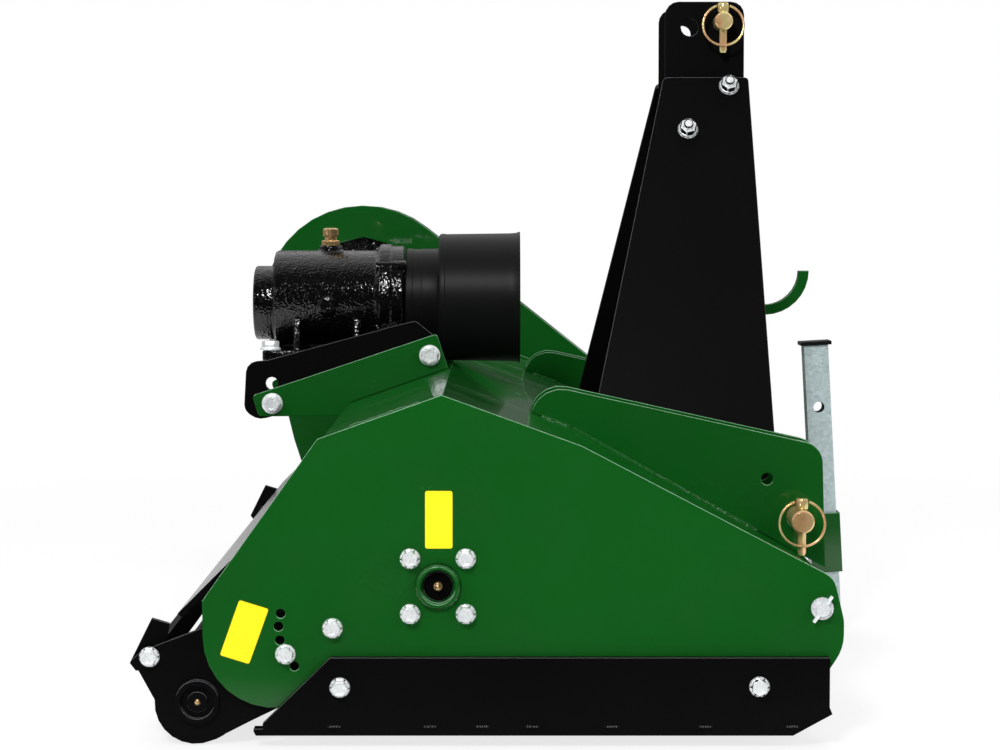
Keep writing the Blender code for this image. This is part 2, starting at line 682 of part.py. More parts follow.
CLIPS = {"left_clip": (HITCH_PIN, -CLIP_Y, PIN_R), "belt_side_clip": (HITCH_PIN, CLIP_Y, PIN_R),
         "top_clip": (TOP_PIN, TOP_CLIP_Y, TOP_PIN_R)}
for clip, ((x, z), y, host) in CLIPS.items():
    add(clip + "_pin", clip_pin(x, z, y, host), YELLOW_ZINC)
    eye = z + host + CLIP_EYE
    clip_ring(clip + "_ring", x, eye, y, 1 if y > 0 else -1, carrier(clip + "_axis", (x, y, eye)))


# Gearbox and its mounting on the deck's rear slope
SHAFT_Z = 0.2350                    # gearbox axes above the rotor
CROSS_X = -0.1250                   # cross shaft, where the two axes meet
CASE_R = 0.0510
CRADLE_Y = 0.1060                   # inner faces of the cradle's walls
CRADLE_T = 0.0055
SADDLE_T = 0.0060
CRADLE_SHELF_Z = 0.1600
CRADLE_SHELF_T = 0.0080
FOOT_T = 0.0120
CRADLE_BOLTS = ((-0.1846, 0.1272), (-0.0192, 0.1778))


def gearbox_cradle():
    """A black shelf between two walls with slanting tops."""
    wall = rounded([(-0.2122, 0.1703), (-0.1901, 0.1723), (-0.0506, 0.2099), (-0.0341, 0.2137),
                    (-0.0160, 0.1992), (-0.0100, 0.1600), (-0.2010, 0.1090), (-0.2150, 0.1200)],
                   [0.012, 0, 0, 0.006, 0.010, 0.010, 0.018, 0.012], 3)
    far_wall = [(max(x, -0.1975), z) for x, z in wall]
    hole = [ring((-0.1855, 0.1480), 0.0068)]
    shelf = block((-0.1970, -CRADLE_Y - 0.003, CRADLE_SHELF_Z), (-0.0400, CRADLE_Y + 0.003,
                                                                  CRADLE_SHELF_Z + CRADLE_SHELF_T))
    whole = union(shelf, plate(far_wall, CRADLE_Y, CRADLE_T), plate(wall, -CRADLE_Y - CRADLE_T, CRADLE_T, hole))
    return cut(whole, under_deck())


def saddle(name, side):
    """A green bracket welded to the deck, with two bolts into the cradle."""
    face = CRADLE_Y + CRADLE_T + SEAT
    wall = rounded([(-0.2060, 0.1355), (-0.0118, 0.2005), (0.0040, 0.1519), (-0.0202, 0.1000),
                    (-0.1120, 0.0900), (-0.1126, 0.1142), (-0.1990, 0.1136)],
                   [0.004, 0.003, 0.002, 0, 0, 0, 0.004], 2)
    web = cut(plate(wall, face, SADDLE_T), under_deck())
    bolts = [flange_bolt((x, face + SADDLE_T, z), "Y",
                         SADDLE_T + SEAT, SADDLE_BOLT_R) for x, z in CRADLE_BOLTS]
    return add(name, mirrored(union(web, *bolts), side), GREEN)


def gearbox_case():
    """Cast case: main barrel, end cover, front flange, foot and ribs, and the
    long tube that carries the cross shaft to the belts."""
    barrel = turned([(0.0470, -0.1905), (CASE_R, -0.1872), (CASE_R, -0.0790), (0.0580, -0.0756), (0.0580, -0.0630),
                     (0.0560, -0.0625), (0.0560, -0.0500), (0.0300, -0.0495)], "X",
                    (0, 0, SHAFT_Z), 28)
    end_cover = turned([(0.0385, -0.2122), (0.0402, -0.2107), (0.0402, -0.1870)], "X", (0, 0, SHAFT_Z - 0.0060), 24)
    shelf_top = CRADLE_SHELF_Z + CRADLE_SHELF_T + SEAT
    foot = block((-0.2000, -0.0620, shelf_top), (-0.0560, 0.0620, shelf_top + FOOT_T))
    rib = plate([(-0.1880, shelf_top + 0.004), (-0.0700, shelf_top + 0.004), (-0.0700, SHAFT_Z),
                 (-0.1880, SHAFT_Z)], -0.0060, 0.0120)
    whole = union(barrel, end_cover, foot, rib)
    for x in (-0.1670, -0.1030):
        gusset = bar([(-0.0580, shelf_top + 0.006), (0.0580, shelf_top + 0.006), (0.0420, SHAFT_Z),
                      (-0.0420, SHAFT_Z)], x, 0.0070)
        whole = union(whole, gusset)
    tube = turned([(0.0400, 0.020), (0.0400, 0.0720), (0.0500, 0.0740), (0.0500, 0.0860), (CROSS_TUBE_R, 0.0880),
                   (CROSS_TUBE_R, CROSS_TUBE_END)], "Y", (CROSS_X, 0, SHAFT_Z), 24)
    blind = turned([(0.0085, -0.0545), (0.0100, -0.0535), (0.0120, -0.0300)], "Y", (FILLER_X, 0, SHAFT_Z - 0.0070), 12)
    boss = turned([(0.0130, 0.0300), (0.0130, 0.0545), (0.0110, 0.0565)], "Z", (FILLER_X, 0, SHAFT_Z), 12)
    whole = union(whole, tube, blind, boss)
    bore = rod(CROSS_SHAFT_R + SEAT, 0.060, CROSS_TUBE_END + 0.05, "Y", (CROSS_X, 0, SHAFT_Z), 24)
    nose_bore = rod(INPUT_SHAFT_R + 0.0009, -0.1000, 0.0, "X", (0, 0, SHAFT_Z), 24)
    top_bore = rod(0.0050 + SEAT, 0.0400, 0.0700, "Z", (FILLER_X, 0, SHAFT_Z), 10)
    whole = cut(whole, bore, nose_bore, top_bore)
    case_bolts = [(0.050 * cos(radians(a)), SHAFT_Z + 0.050 * sin(radians(a))) for a in (40, 140, 220, 320)]
    lugs = [turned([(0.0085, -0.0782), (0.0085, -0.0470), (0.0070, -0.0450)],
                   "X", (0, y, z), 6) for y, z in case_bolts]
    feet = [flange_bolt((x, y, shelf_top + FOOT_T), "Z", 0.004, SADDLE_BOLT_R)
            for x in (-0.1920, -0.0640) for y in (-0.0520, 0.0520)]
    return union(whole, *lugs, *feet)


FILLER_X = -0.1302
CROSS_TUBE_R = 0.0300
CROSS_TUBE_END = HALF + 0.0145
CROSS_SHAFT_R = 0.0150
INPUT_SHAFT_R = 0.0174
SHIELD_START = -0.0480
SHIELD_MOUTH = 0.0763
SHIELD_T = 0.0030


def pto_shield():
    """The moulded cup round the input shaft."""
    outer = [(0.0530, SHIELD_START + SEAT), (0.0530, -0.0125), (0.0690, -0.0108), (0.0702, SHIELD_MOUTH - 0.004),
             (0.0715, SHIELD_MOUTH)]
    inner = [(r - SHIELD_T, x) for r, x in reversed(outer[1:])]
    cup = turned([(0.0300, SHIELD_START + SEAT), *outer, *inner, (0.0500, SHIELD_START + 0.004),
                  (0.0300, SHIELD_START + 0.004)], "X", (0, 0, SHAFT_Z), 32, closed=True)
    recess = []
    for a in (40, 140, 220, 320):
        recess.append(rod(0.0095, -0.06, -0.040, "X", (0, 0.050 * cos(radians(a)),
                                                       SHAFT_Z + 0.050 * sin(radians(a))), 12))
    return cut(cup, *recess)


def input_shaft():
    """Six splines and the snap groove of a tractor's drive shaft."""
    core = turned([(0.0150, -0.0950), (0.0150, -0.0200), (0.0144, -0.0190), (0.0144, 0.0540),
                   (0.0128, 0.0560)], "X", (0, 0, SHAFT_Z), 24)
    for k in range(6):
        a = 60 * k
        tooth = block((-0.0900, -0.0042, 0.0100), (0.0520, 0.0042, 0.0172))
        bmesh.ops.rotate(tooth, matrix=Matrix.Rotation(radians(a), 3, "X"), verts=tooth.verts)
        bmesh.ops.translate(tooth, vec=(0, 0, SHAFT_Z), verts=tooth.verts)
        core = union(core, tooth)
    groove = pipe(0.0200, 0.0140, 0.0200, 0.0270, "X", (0, 0, SHAFT_Z), 24)
    return cut(core, groove)


def filler_plug():
    """The breather plug on the case's top boss."""
    return turned([(0.0050, 0.0420), (0.0050, 0.0565 + SEAT), (0.0090, 0.0565 + SEAT), (0.0090, 0.0620),
                   (0.0068, 0.0625), (0.0068, 0.0670), (0.0085, 0.0675), (0.0085, 0.0740), (0.0065, 0.0755)],
                  "Z", (FILLER_X, 0, SHAFT_Z), 12)


add("gearbox_cradle", gearbox_cradle(), BLACK)
saddle("left_saddle", -1)
saddle("belt_side_saddle", 1)
add("gearbox_case", gearbox_case(), CAST)
add("pto_shield", pto_shield(), PLASTIC)
add("filler_plug", filler_plug(), BRASS)
add("input_shaft", input_shaft(), STEEL, carrier("input_axis", (0, 0, SHAFT_Z)))


# Belt drive in its guard on the right-hand side plate
GUARD_Y = HALF + SKID_T + 0.0015             # inner face of the guard's back plate
GUARD_BACK_T = 0.0040
HUB_RING_R = 0.0475
GUARD_DEPTH = 0.0700
GUARD_TOP = (-0.1253, 0.2047)
GUARD_TOP_R = 0.1315
GUARD_SHEET = 0.0025
DRIVE_R = 0.0800
DRIVEN_R = 0.0600
GROOVE_DEPTH = 0.0080
BELT_PITCH = 0.0160
BELT_GAP = 0.0006
PULLEY_Y = GUARD_Y + GUARD_BACK_T + 0.0210


def guard_outline(inset=0.0):
    """Round over the drive pulley, straight down the rear and long down the
    front, to the rotor pulley at the bottom."""
    top = arc(GUARD_TOP, GUARD_TOP_R - inset, 51, 190, 14)
    foot = [(-0.2170 + inset, 0.0269), (-0.1900 + inset, -0.0560 + inset), (0.0700 - inset, -0.0700 + inset),
            (0.1000 - inset, -0.0300), (0.2000 - inset, 0.0850), (0.1960 - inset, 0.1180 - inset)]
    return [*top, *foot]


def belt_guard_back():
    """The back plate, spaced off the side plate by a ring round the rotor
    shaft, with a wide hole for the cross tube."""
    holes = [ring((CROSS_X, SHAFT_Z), 0.0600, 12), ring((0, 0), HUB_RING_R, 24)]
    sheet = plate(guard_outline(), GUARD_Y, GUARD_BACK_T, holes)
    spacer = pipe(HUB_RING_R + 0.007, HUB_RING_R - 0.0004, HALF + SEAT, GUARD_Y + GUARD_BACK_T)
    wings = [block((x - 0.008, HALF + SEAT, z - 0.008), (x + 0.008, GUARD_Y + 0.001, z + 0.008))
             for x, z in ((-0.0650, -0.0400), (0.0700, 0.0300), (-0.0200, 0.1080))]
    return cut(union(sheet, *wings, spacer), rod(HUB_RING_R - 0.0004, HALF - 0.01, GUARD_Y + 0.02, steps=24))


def belt_guard_cover():
    """A shallow pan over the pulleys, open towards the back plate."""
    start = GUARD_Y + GUARD_BACK_T + SEAT
    pan = plate(guard_outline(), start, GUARD_DEPTH)
    hollow = plate(guard_outline(GUARD_SHEET), start - 0.02, GUARD_DEPTH + 0.02 - GUARD_SHEET)
    vents = [plate(rounded([(-0.165 + 0.03 * k, 0.262), (-0.155 + 0.03 * k, 0.262), (-0.155 + 0.03 * k, 0.292),
                            (-0.165 + 0.03 * k, 0.292)], 0.0045, 2), start + 0.01, GUARD_DEPTH + 0.01)
             for k in range(3)]
    return cut(pan, hollow, *vents)


def pulley(radius, bore, centre):
    """A grooved wheel with a dished web, turned in one piece."""
    edge = BELT_PITCH * BELT_COUNT / 2 + 0.002
    profile = [(radius, -edge)]
    for k in range(BELT_COUNT):
        middle = (k - (BELT_COUNT - 1) / 2) * BELT_PITCH
        profile += [(radius, middle - 0.0062), (radius - GROOVE_DEPTH, middle - 0.0036),
                    (radius - GROOVE_DEPTH, middle + 0.0036), (radius, middle + 0.0062)]
    profile += [(radius, edge), (radius - 0.014, edge), (radius - 0.016, edge - 0.010),
                (0.0300, edge - 0.010), (0.0280, edge + 0.002), (bore, edge + 0.002), (bore, -edge)]
    return turned(profile, "Y", centre, 28, closed=True)


def belt(y):
    """One V-belt: it fills its grooves and runs straight between the wheels."""
    apart = hypot(CROSS_X, SHAFT_Z)
    line = degrees(atan2(SHAFT_Z, CROSS_X))
    lean_off = degrees(atan2(DRIVE_R - DRIVEN_R, apart))
    def loop(drop):
        top = arc((CROSS_X, SHAFT_Z), DRIVE_R - drop, line - 90 - lean_off, line + 90 + lean_off, 16)
        low = arc((0, 0), DRIVEN_R - drop, line + 90 + lean_off, line + 270 - lean_off, 12)
        return [*top, *low]
    inner = GROOVE_DEPTH - BELT_GAP - 0.0004
    return plate(loop(-0.0005), y - 0.0034, 0.0068, [loop(inner)])


def cross_shaft():
    return turned([(CROSS_SHAFT_R, 0.0620), (CROSS_SHAFT_R, PULLEY_Y + 0.0300), (0.0130, PULLEY_Y + 0.0320)],
                  "Y", (CROSS_X, 0, SHAFT_Z), 24)


add("belt_guard_back", belt_guard_back(), GREEN)
add("belt_guard_cover", belt_guard_cover(), GREEN)
cross_axis = carrier("cross_shaft_axis", (CROSS_X, 0, SHAFT_Z))
add("cross_shaft", cross_shaft(), STEEL, cross_axis)
add("drive_pulley", pulley(DRIVE_R, CROSS_SHAFT_R + SEAT, (CROSS_X, PULLEY_Y, SHAFT_Z)), CAST, cross_axis)
for k in range(BELT_COUNT):
    add(f"drive_belt_{k + 1}", belt(PULLEY_Y + (k - (BELT_COUNT - 1) / 2) * BELT_PITCH), RUBBER)


# Rotor: tube, stub shafts, paired lugs and their swinging hammers
LUG_T = 0.0060
LUG_R = 0.0120
STEM_W = 0.0200
STEM_T = 0.0120
HAMMER_T = 0.0180
FLAIL_PLACES = [(45 + 90 * (k * 3 % 4), -INNER + (k + 0.5) * 2 * INNER / FLAIL_COUNT)
                for k in range(FLAIL_COUNT)]


def pivot_of(angle):
    return PIVOT_R * cos(radians(angle)), PIVOT_R * sin(radians(angle))


def lug(angle, y):
    """A pear-shaped plate that stands on the tube round a flail bolt."""
    x, z = pivot_of(angle)
    base = [((TUBE_R - 0.003) * cos(radians(angle + a)), (TUBE_R - 0.003) * sin(radians(angle + a)))
            for a in (28, -28)]
    return plate([*base, *arc((x, z), LUG_R, angle - 80, angle + 80, 6)], y, LUG_T)


def rotor():
    """The tube with end discs and bored stub shafts, all lugs and all bolts."""
    end = INNER - 0.022
    disc = end - 0.010
    nose = HALF - 0.002
    belt_end = PULLEY_Y + 0.0300
    inside = TUBE_R - TUBE_WALL
    whole = turned([(SHAFT_R, -nose), (SHAFT_R, -end), (TUBE_R, -end), (TUBE_R, end), (SHAFT_R, end),
                    (SHAFT_R, belt_end), (GREASE_R, belt_end), (GREASE_R, disc), (inside, disc),
                    (inside, -disc), (GREASE_R, -disc), (GREASE_R, -nose)], "Y", (0, 0, 0), 24, closed=True)
    for angle, y in FLAIL_PLACES:
        gap = STEM_W / 2 + SEAT
        x, z = pivot_of(angle)
        bolt = rod(FLAIL_BOLT_R, y - gap - LUG_T - 0.005, y + gap + LUG_T + 0.005, "Y", (x, 0, z), 12)
        whole = union(whole, lug(angle, y - gap - LUG_T), lug(angle, y + gap), bolt)
    return whole


def flail(angle, y):
    """A hammer that hangs from its bolt: an eye, a stem and a wide head with
    a chamfered edge."""
    x, z = pivot_of(angle)
    eye = FLAIL_BOLT_R + 0.0004
    stem = plate([*arc((x, z), STEM_T / 2 + 0.003, 0, 180, 8), (x - STEM_T / 2, z - 0.012),
                  (x - STEM_T / 2, z - FLAIL_LENGTH + 0.006), (x + STEM_T / 2, z - FLAIL_LENGTH + 0.006),
                  (x + STEM_T / 2, z - 0.012)], y - STEM_W / 2, STEM_W, [ring((x, z), eye)])
    head_top = z - FLAIL_LENGTH + 0.024
    head = plate([(x - 0.0055, head_top), (x + 0.0055, head_top), (x + HAMMER_T / 2, head_top - 0.008),
                  (x + HAMMER_T / 2, z - FLAIL_LENGTH), (x - HAMMER_T / 2, z - FLAIL_LENGTH),
                  (x - HAMMER_T / 2, head_top - 0.008)], y - FLAIL_WIDTH / 2, FLAIL_WIDTH)
    return union(stem, head)


rotor_axis = carrier("rotor_axis", (0, 0, 0))
add("rotor", rotor(), STEEL, rotor_axis)
add("rotor_pulley", pulley(DRIVEN_R, SHAFT_R + SEAT, (0, PULLEY_Y, 0)), CAST, rotor_axis)
for k, (angle, y) in enumerate(FLAIL_PLACES):
    x, z = pivot_of(angle)
    swing = carrier(f"flail_{k + 1}_axis", (x, y, z), rotor_axis)
    add(f"flail_{k + 1}", flail(angle, y), STEEL, swing)


# Rear roller on its swinging arms, with the scraper bar across them
ROLLER = (-0.2125, -0.1032)
ARM_OUT = INNER - SEAT              # outer and inner faces of an arm
ARM_IN = ARM_OUT - ARM_T
ARM_BOLT = (-0.2548, -0.0636)
ARM_ROUND = (-0.2145, -0.1050)      # middle of the arm's round end
ARM_ROUND_R = 0.0362
HUB_R = 0.0195
STUB_R = 0.0090
HUB_OUT = 0.0060
HUB_IN = 0.0030
ROLLER_END = ARM_IN - HUB_IN - 0.0012
TAB_T = 0.0050


def beyond(centre, radius, angle):
    return arc(centre, radius, angle, angle, 1)[0]


def roller_arm(name, side):
    """A plate from the pivot bolt to the roller, with the hub and a nut for
    the bolt that locks its height."""
    lock = adjust_holes()[PINNED_HOLE]
    outline = [*arc(PIVOT, 0.024, -40, 110, 6), (-0.2080, -0.0380), (-0.2620, -0.0585), (-0.2700, -0.0660),
               *arc(ARM_ROUND, ARM_ROUND_R, 175, 295, 8), (-0.1669, -0.1213), beyond(PIVOT, 0.060, 252)]
    holes = [ring(PIVOT, BOLT_R + 0.0006), ring(ROLLER, 0.0110, 16), ring(lock, BOLT_R + 0.0006)]
    sheet = plate(outline, ARM_IN, ARM_T, holes)
    nut = turned([(HEAD_R, ARM_IN - 0.0080), (HEAD_R, ARM_IN + 0.001), (BOLT_R + 0.0009, ARM_IN + 0.001),
                  (BOLT_R + 0.0009, ARM_IN - 0.0080)], "Y", (lock[0], 0, lock[1]), 6, closed=True)
    hub = turned([(HUB_R, ARM_IN - HUB_IN), (HUB_R, ARM_OUT + HUB_OUT), (HUB_R - 0.0045, ARM_OUT + HUB_OUT),
                  (HUB_R - 0.0045, ARM_OUT + 0.001), (STUB_R + 0.0004, ARM_OUT + 0.001),
                  (STUB_R + 0.0004, ARM_IN - HUB_IN)], "Y", (ROLLER[0], 0, ROLLER[1]), 20, closed=True)
    bolt = through_bolt((ARM_BOLT[0], ARM_OUT, ARM_BOLT[1]), ARM_T + TAB_T + 2 * SEAT)
    return add(name, mirrored(union(sheet, hub, nut, bolt), side), BLACK, arm_axis)


def roller():
    """A tube with end discs and bored stub axles that turn in the arms' hubs."""
    end, tip = ROLLER_END, ARM_OUT + 0.0030
    inside, disc = ROLLER_R - ROLLER_WALL, end - 0.0080
    return turned([(STUB_R, -tip), (STUB_R, -end), (ROLLER_R - 0.001, -end), (ROLLER_R, 0.001 - end),
                   (ROLLER_R, end - 0.001), (ROLLER_R - 0.001, end), (STUB_R, end), (STUB_R, tip),
                   (GREASE_R, tip), (GREASE_R, disc), (inside, disc), (inside, -disc), (GREASE_R, -disc),
                   (GREASE_R, -tip)], "Y", (ROLLER[0], 0, ROLLER[1]), 32, closed=True)


def scraper_bar():
    """A blade along the roller, with a tall end tab for each arm's bolt."""
    blade = [(-0.2455, -0.0455), (-0.2400, -0.0455), (-0.2400, -0.0680), (-0.2425, -0.0725), (-0.2455, -0.0725)]
    tab = [(-0.2732, -0.0702), (-0.2534, -0.0303), (-0.2378, -0.0350), (-0.2440, -0.0690),
           (-0.2520, -0.0770), (-0.2680, -0.0770)]
    end = ARM_IN - SEAT
    tabs = [plate(tab, y, TAB_T, [ring(ARM_BOLT, BOLT_R + BOLT_CLEAR)]) for y in (-end + 0.00004, end - TAB_T - 0.00004)]
    return union(plate(blade, -end + 0.001, 2 * end - 0.002), *tabs)


# Rear guard: a plate hung in the opening above the roller
GUARD_UP = Vector((sin(pi / 4), sin(pi / 4)))
GUARD_IN = Vector((sin(pi / 4), -sin(pi / 4)))
GUARD_LOW = Vector((-0.2307, -0.0262))
GUARD_LENGTH = 0.1335
GUARD_PLATE_T = 0.0050
GUARD_EYE_R = 0.0075


def rear_guard():
    """The plate with the rolled eye of its hinge."""
    top = GUARD_LOW + GUARD_UP * GUARD_LENGTH
    inward = GUARD_IN * GUARD_PLATE_T
    outline = [tuple(GUARD_LOW), tuple(top), *arc(GUARD_HINGE, GUARD_EYE_R, 150, -60, 8),
               tuple(top + inward), tuple(GUARD_LOW + inward)]
    half = ARM_IN - 0.0010
    return plate(outline, -half, 2 * half, [ring(GUARD_HINGE, STUD_R + 0.0005)])


arm_axis = carrier("roller_arm_axis", (PIVOT[0], 0, PIVOT[1]))
roller_arm("left_roller_arm", -1)
roller_arm("belt_side_roller_arm", 1)
add("scraper_bar", scraper_bar(), BLACK, arm_axis)
add("roller", roller(), BLACK, carrier("roller_axis", (ROLLER[0], 0, ROLLER[1]), arm_axis))
add("rear_guard", rear_guard(), BLACK, carrier("rear_guard_axis", (GUARD_HINGE[0], 0, GUARD_HINGE[1])))


# Front flaps on the rod across the nose
FLAP_EYE_R = 0.0105
FLAP_LENGTH = 0.0840
FLAP_GAP = 0.0020


def flap_rod():
    """A rod through both side plates, with a washer and a split pin outside
    each of them."""
    end = HALF + 0.0100
    x, z = FLAP_ROD
    washer = [(FLAP_ROD_R, HALF + SEAT), (0.0100, HALF + SEAT), (0.0100, HALF + 0.0030), (FLAP_ROD_R, HALF + 0.0030)]
    profile = [(FLAP_ROD_R, -end), *[(r, -y) for r, y in reversed(washer)], *washer, (FLAP_ROD_R, end)]
    whole = turned(profile, "Y", (x, 0, z), 16)
    reach, turn = 0.0140, radians(35)
    for side in (-1, 1):
        y = side * (HALF + 0.0068)
        pin = wire([(x - reach * sin(turn), y, z - reach * cos(turn)), (x, y, z),
                    (x + reach * sin(turn), y, z + reach * cos(turn))], 0.0016)
        whole = union(whole, pin)
    return whole


def front_flap(k):
    """One flap: a rolled eye on the rod and a plate that hangs down from it."""
    wide = 2 * (INNER - SEAT) / FLAP_COUNT
    low = -INNER + SEAT + k * wide + FLAP_GAP / 2
    x, z = FLAP_ROD
    half = FLAP_T / 2
    outline = [*arc(FLAP_ROD, FLAP_EYE_R, -60, 240, 12), (x - half, z - 0.0120), (x - half, z - FLAP_LENGTH),
               (x + half, z - FLAP_LENGTH), (x + half, z - 0.0120)]
    return plate(outline, low, wide - FLAP_GAP, [ring(FLAP_ROD, FLAP_ROD_R + 0.0005)])


add("flap_rod", flap_rod(), ZINC)
for k in range(FLAP_COUNT):
    flap_axis = carrier(f"front_flap_{k + 1}_axis", (FLAP_ROD[0], 0, FLAP_ROD[1]))
    add(f"front_flap_{k + 1}", front_flap(k), BLACK, flap_axis)


# Parking stand: a capped square leg that slides in a sleeve on the nose
STAND = (0.4182, 0.0600, -0.0405)   # middle of the sleeve
STAND_TILT = radians(-3.2)
LEG_TOP = 0.2208                    # along the leg from the sleeve's middle
LEG_LOW = -0.0800
SLEEVE_HALF = 0.0330
SLEEVE_W = 0.0340
SLEEVE_BORE = LEG_W + 0.0006
CAP_W = 0.0340
CAP_T = 0.0040


def post(width, low, high):
    """A square bar about the leg's axis, leaning as the leg does."""
    half = width / 2
    return tipped(block((-half, -half, low), (half, half, high)))


def tipped(bm):
    bmesh.ops.rotate(bm, matrix=Matrix.Rotation(STAND_TILT, 3, "Y"), verts=bm.verts)
    bmesh.ops.translate(bm, vec=STAND, verts=bm.verts)
    return bm


def stand_leg():
    """A square tube, open at both ends, with a hole for a locking pin."""
    hole = tipped(rod(0.0062, -0.05, 0.05, "Y", (0, 0, 0.1517), 16))
    return cut(post(LEG_W, LEG_LOW, LEG_TOP), post(LEG_W - 2 * LEG_WALL, LEG_LOW - 0.01, LEG_TOP + 0.01), hole)


def stand_sleeve():
    """The sleeve and the gusset that joins it to the deck's nose."""
    outline = [(0.2900, 0.0294), (0.2900, 0.0500), (0.3450, 0.0340), (0.4035, -0.0080), (0.4035, -0.0450),
               (0.3600, -0.0200), (0.3486, -0.0031)]
    gusset = plate(outline, STAND[1] - 0.004, 0.008)
    return cut(union(post(SLEEVE_W, -SLEEVE_HALF, SLEEVE_HALF), gusset),
               post(SLEEVE_BORE, -SLEEVE_HALF - 0.02, SLEEVE_HALF + 0.02))


def leg_cap():
    """A moulded cap that plugs and covers the tube's top."""
    plug = post(LEG_W - 2 * LEG_WALL - 0.0006, LEG_TOP - 0.012, LEG_TOP + 0.002)
    return union(post(CAP_W, LEG_TOP + SEAT, LEG_TOP + SEAT + CAP_T), plug)


stand_axis = carrier("stand_axis", STAND)
add("stand_leg", stand_leg(), ZINC, stand_axis)
add("leg_cap", leg_cap(), PLASTIC, stand_axis)
add("stand_sleeve", stand_sleeve(), GREEN)


def stand_on_origin():
    """Put the middle of the machine's footprint on the world's origin."""
    bpy.context.view_layer.update()
    points = [obj.matrix_world @ v.co for obj in MODEL.objects if obj.type == "MESH" for v in obj.data.vertices]
    low = [min(p[i] for p in points) for i in range(3)]
    high = [max(p[i] for p in points) for i in range(3)]
    ROOT.location = (-(low[0] + high[0]) / 2, -(low[1] + high[1]) / 2, -low[2])
    print("rotor axis at", [round(v, 6) for v in ROOT.location])


stand_on_origin()
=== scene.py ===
# %% [markdown]
# # A tractor mulcher on a white floor
#
# A mulcher is a mower that hangs on a tractor's three-point hitch. A rotor under
# the green deck carries swinging hammers, and belts on the far side drive it.
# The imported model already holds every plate, shaft and pin at its real size.
# This script gives each of them its finish, and adds the small things that a
# photograph shows: bolt heads, weld beads, spring rings and grease nipples.

# %% Load the frame
import bmesh
import bpy
import json
from math import acos, atan2, cos, degrees, hypot, radians, sin, sqrt, tan, tau
from mathutils import Matrix, Vector, noise


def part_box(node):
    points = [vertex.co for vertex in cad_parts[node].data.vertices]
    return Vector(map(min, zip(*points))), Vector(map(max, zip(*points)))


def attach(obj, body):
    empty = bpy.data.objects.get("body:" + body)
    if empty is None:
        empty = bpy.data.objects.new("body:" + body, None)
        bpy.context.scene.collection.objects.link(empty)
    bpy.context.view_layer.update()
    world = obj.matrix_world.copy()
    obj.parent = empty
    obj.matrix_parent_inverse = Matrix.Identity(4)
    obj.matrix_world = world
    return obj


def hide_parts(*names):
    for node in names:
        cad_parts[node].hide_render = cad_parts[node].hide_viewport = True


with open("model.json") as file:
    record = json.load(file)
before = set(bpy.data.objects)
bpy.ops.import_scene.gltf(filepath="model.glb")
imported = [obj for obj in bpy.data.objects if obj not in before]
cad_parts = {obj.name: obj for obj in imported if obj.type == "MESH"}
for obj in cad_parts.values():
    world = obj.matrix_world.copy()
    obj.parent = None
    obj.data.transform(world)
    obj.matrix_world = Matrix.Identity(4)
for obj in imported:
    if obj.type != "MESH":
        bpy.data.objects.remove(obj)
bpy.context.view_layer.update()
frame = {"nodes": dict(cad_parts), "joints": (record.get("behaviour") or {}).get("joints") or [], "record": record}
NODES = frame["nodes"]
JOINTS = {joint["name"]: joint for joint in frame["joints"]}
ROTOR = Vector(JOINTS["rotor_spin"]["pos_m"])
print("rotor axis at", [round(v, 4) for v in ROTOR])


# %% [markdown]
# ## Places
# Every place below is counted from the rotor's axis: X forward to the tractor,
# Y towards the belts, Z up. One small function turns that into world space. Two
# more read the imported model: where a joint turns, and how far a node reaches.

# %% Places
def at(x, y, z):
    return ROTOR + Vector((x, y, z))


def pivot(joint):
    return Vector(JOINTS[joint]["pos_m"]) - ROTOR


def reach_of(name):
    """The lowest and the highest corner of a node."""
    return [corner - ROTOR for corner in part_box(name)]


def on_side(side, y, spots):
    """Put (x, z) spots on one side of the machine, y out from its middle."""
    return [(x, side * y, z) for x, z in spots]


HALF = 0.575                 # from the middle to the outer face of a side plate
SIDES = {"left": -1, "belt_side": 1}
print("the side plates stand", 2 * HALF, "m apart")


# %% [markdown]
# ## Camera
# The photograph was taken from well back, level with the gearbox, looking a
# little down. A long lens keeps the two side plates close in size. The values
# come from matching known sizes in the picture: pin rings, bolts and the mast.

# %% Camera
lens = bpy.data.cameras.new("camera")
lens.lens = 93.9
lens.sensor_width = 36
camera = bpy.data.objects.new("camera", lens)
camera.location = at(0.0545, -2.850, 0.3291)
camera.rotation_euler = (radians(86.4), 0, 0)
bpy.context.scene.collection.objects.link(camera)
bpy.context.scene.camera = camera
bpy.context.scene.view_settings.view_transform = "Standard"
print("camera", [round(v, 3) for v in camera.location])


# %% [markdown]
# ## Colours and nodes
# Colours are written as hex values, and one function turns them into the linear
# values that a shader uses. A material is a small graph: one helper adds a node
# with its settings and inputs, and another starts a material on its shader. The
# size of each pattern is given in millimetres, so it stays true to the surface.

# %% Node helpers
def linear(code):
    """Turn an sRGB hex colour into linear red, green, blue and alpha."""
    parts = [int(code[i:i + 2], 16) / 255 for i in (1, 3, 5)]
    return (*(v / 12.92 if v <= 0.04045 else ((v + 0.055) / 1.055) ** 2.4 for v in parts), 1)


def per_mm(size):
    """The scale of a texture whose lumps are this many millimetres across."""
    return 1000 / size


def feed(tree, target, inputs):
    """Set a node's inputs. A tuple (node, output) is a link, and the rest are values."""
    for key, value in inputs.items():
        if isinstance(value, tuple) and isinstance(value[0], bpy.types.Node):
            tree.links.new(value[0].outputs[value[1]], target.inputs[key])
        else:
            target.inputs[key].default_value = value


def node(tree, kind, inputs=None, **settings):
    """Add a node with its settings, its values and its links."""
    made = tree.nodes.new(kind)
    for key, value in settings.items():
        setattr(made, key, value)
    feed(tree, made, inputs or {})
    return made


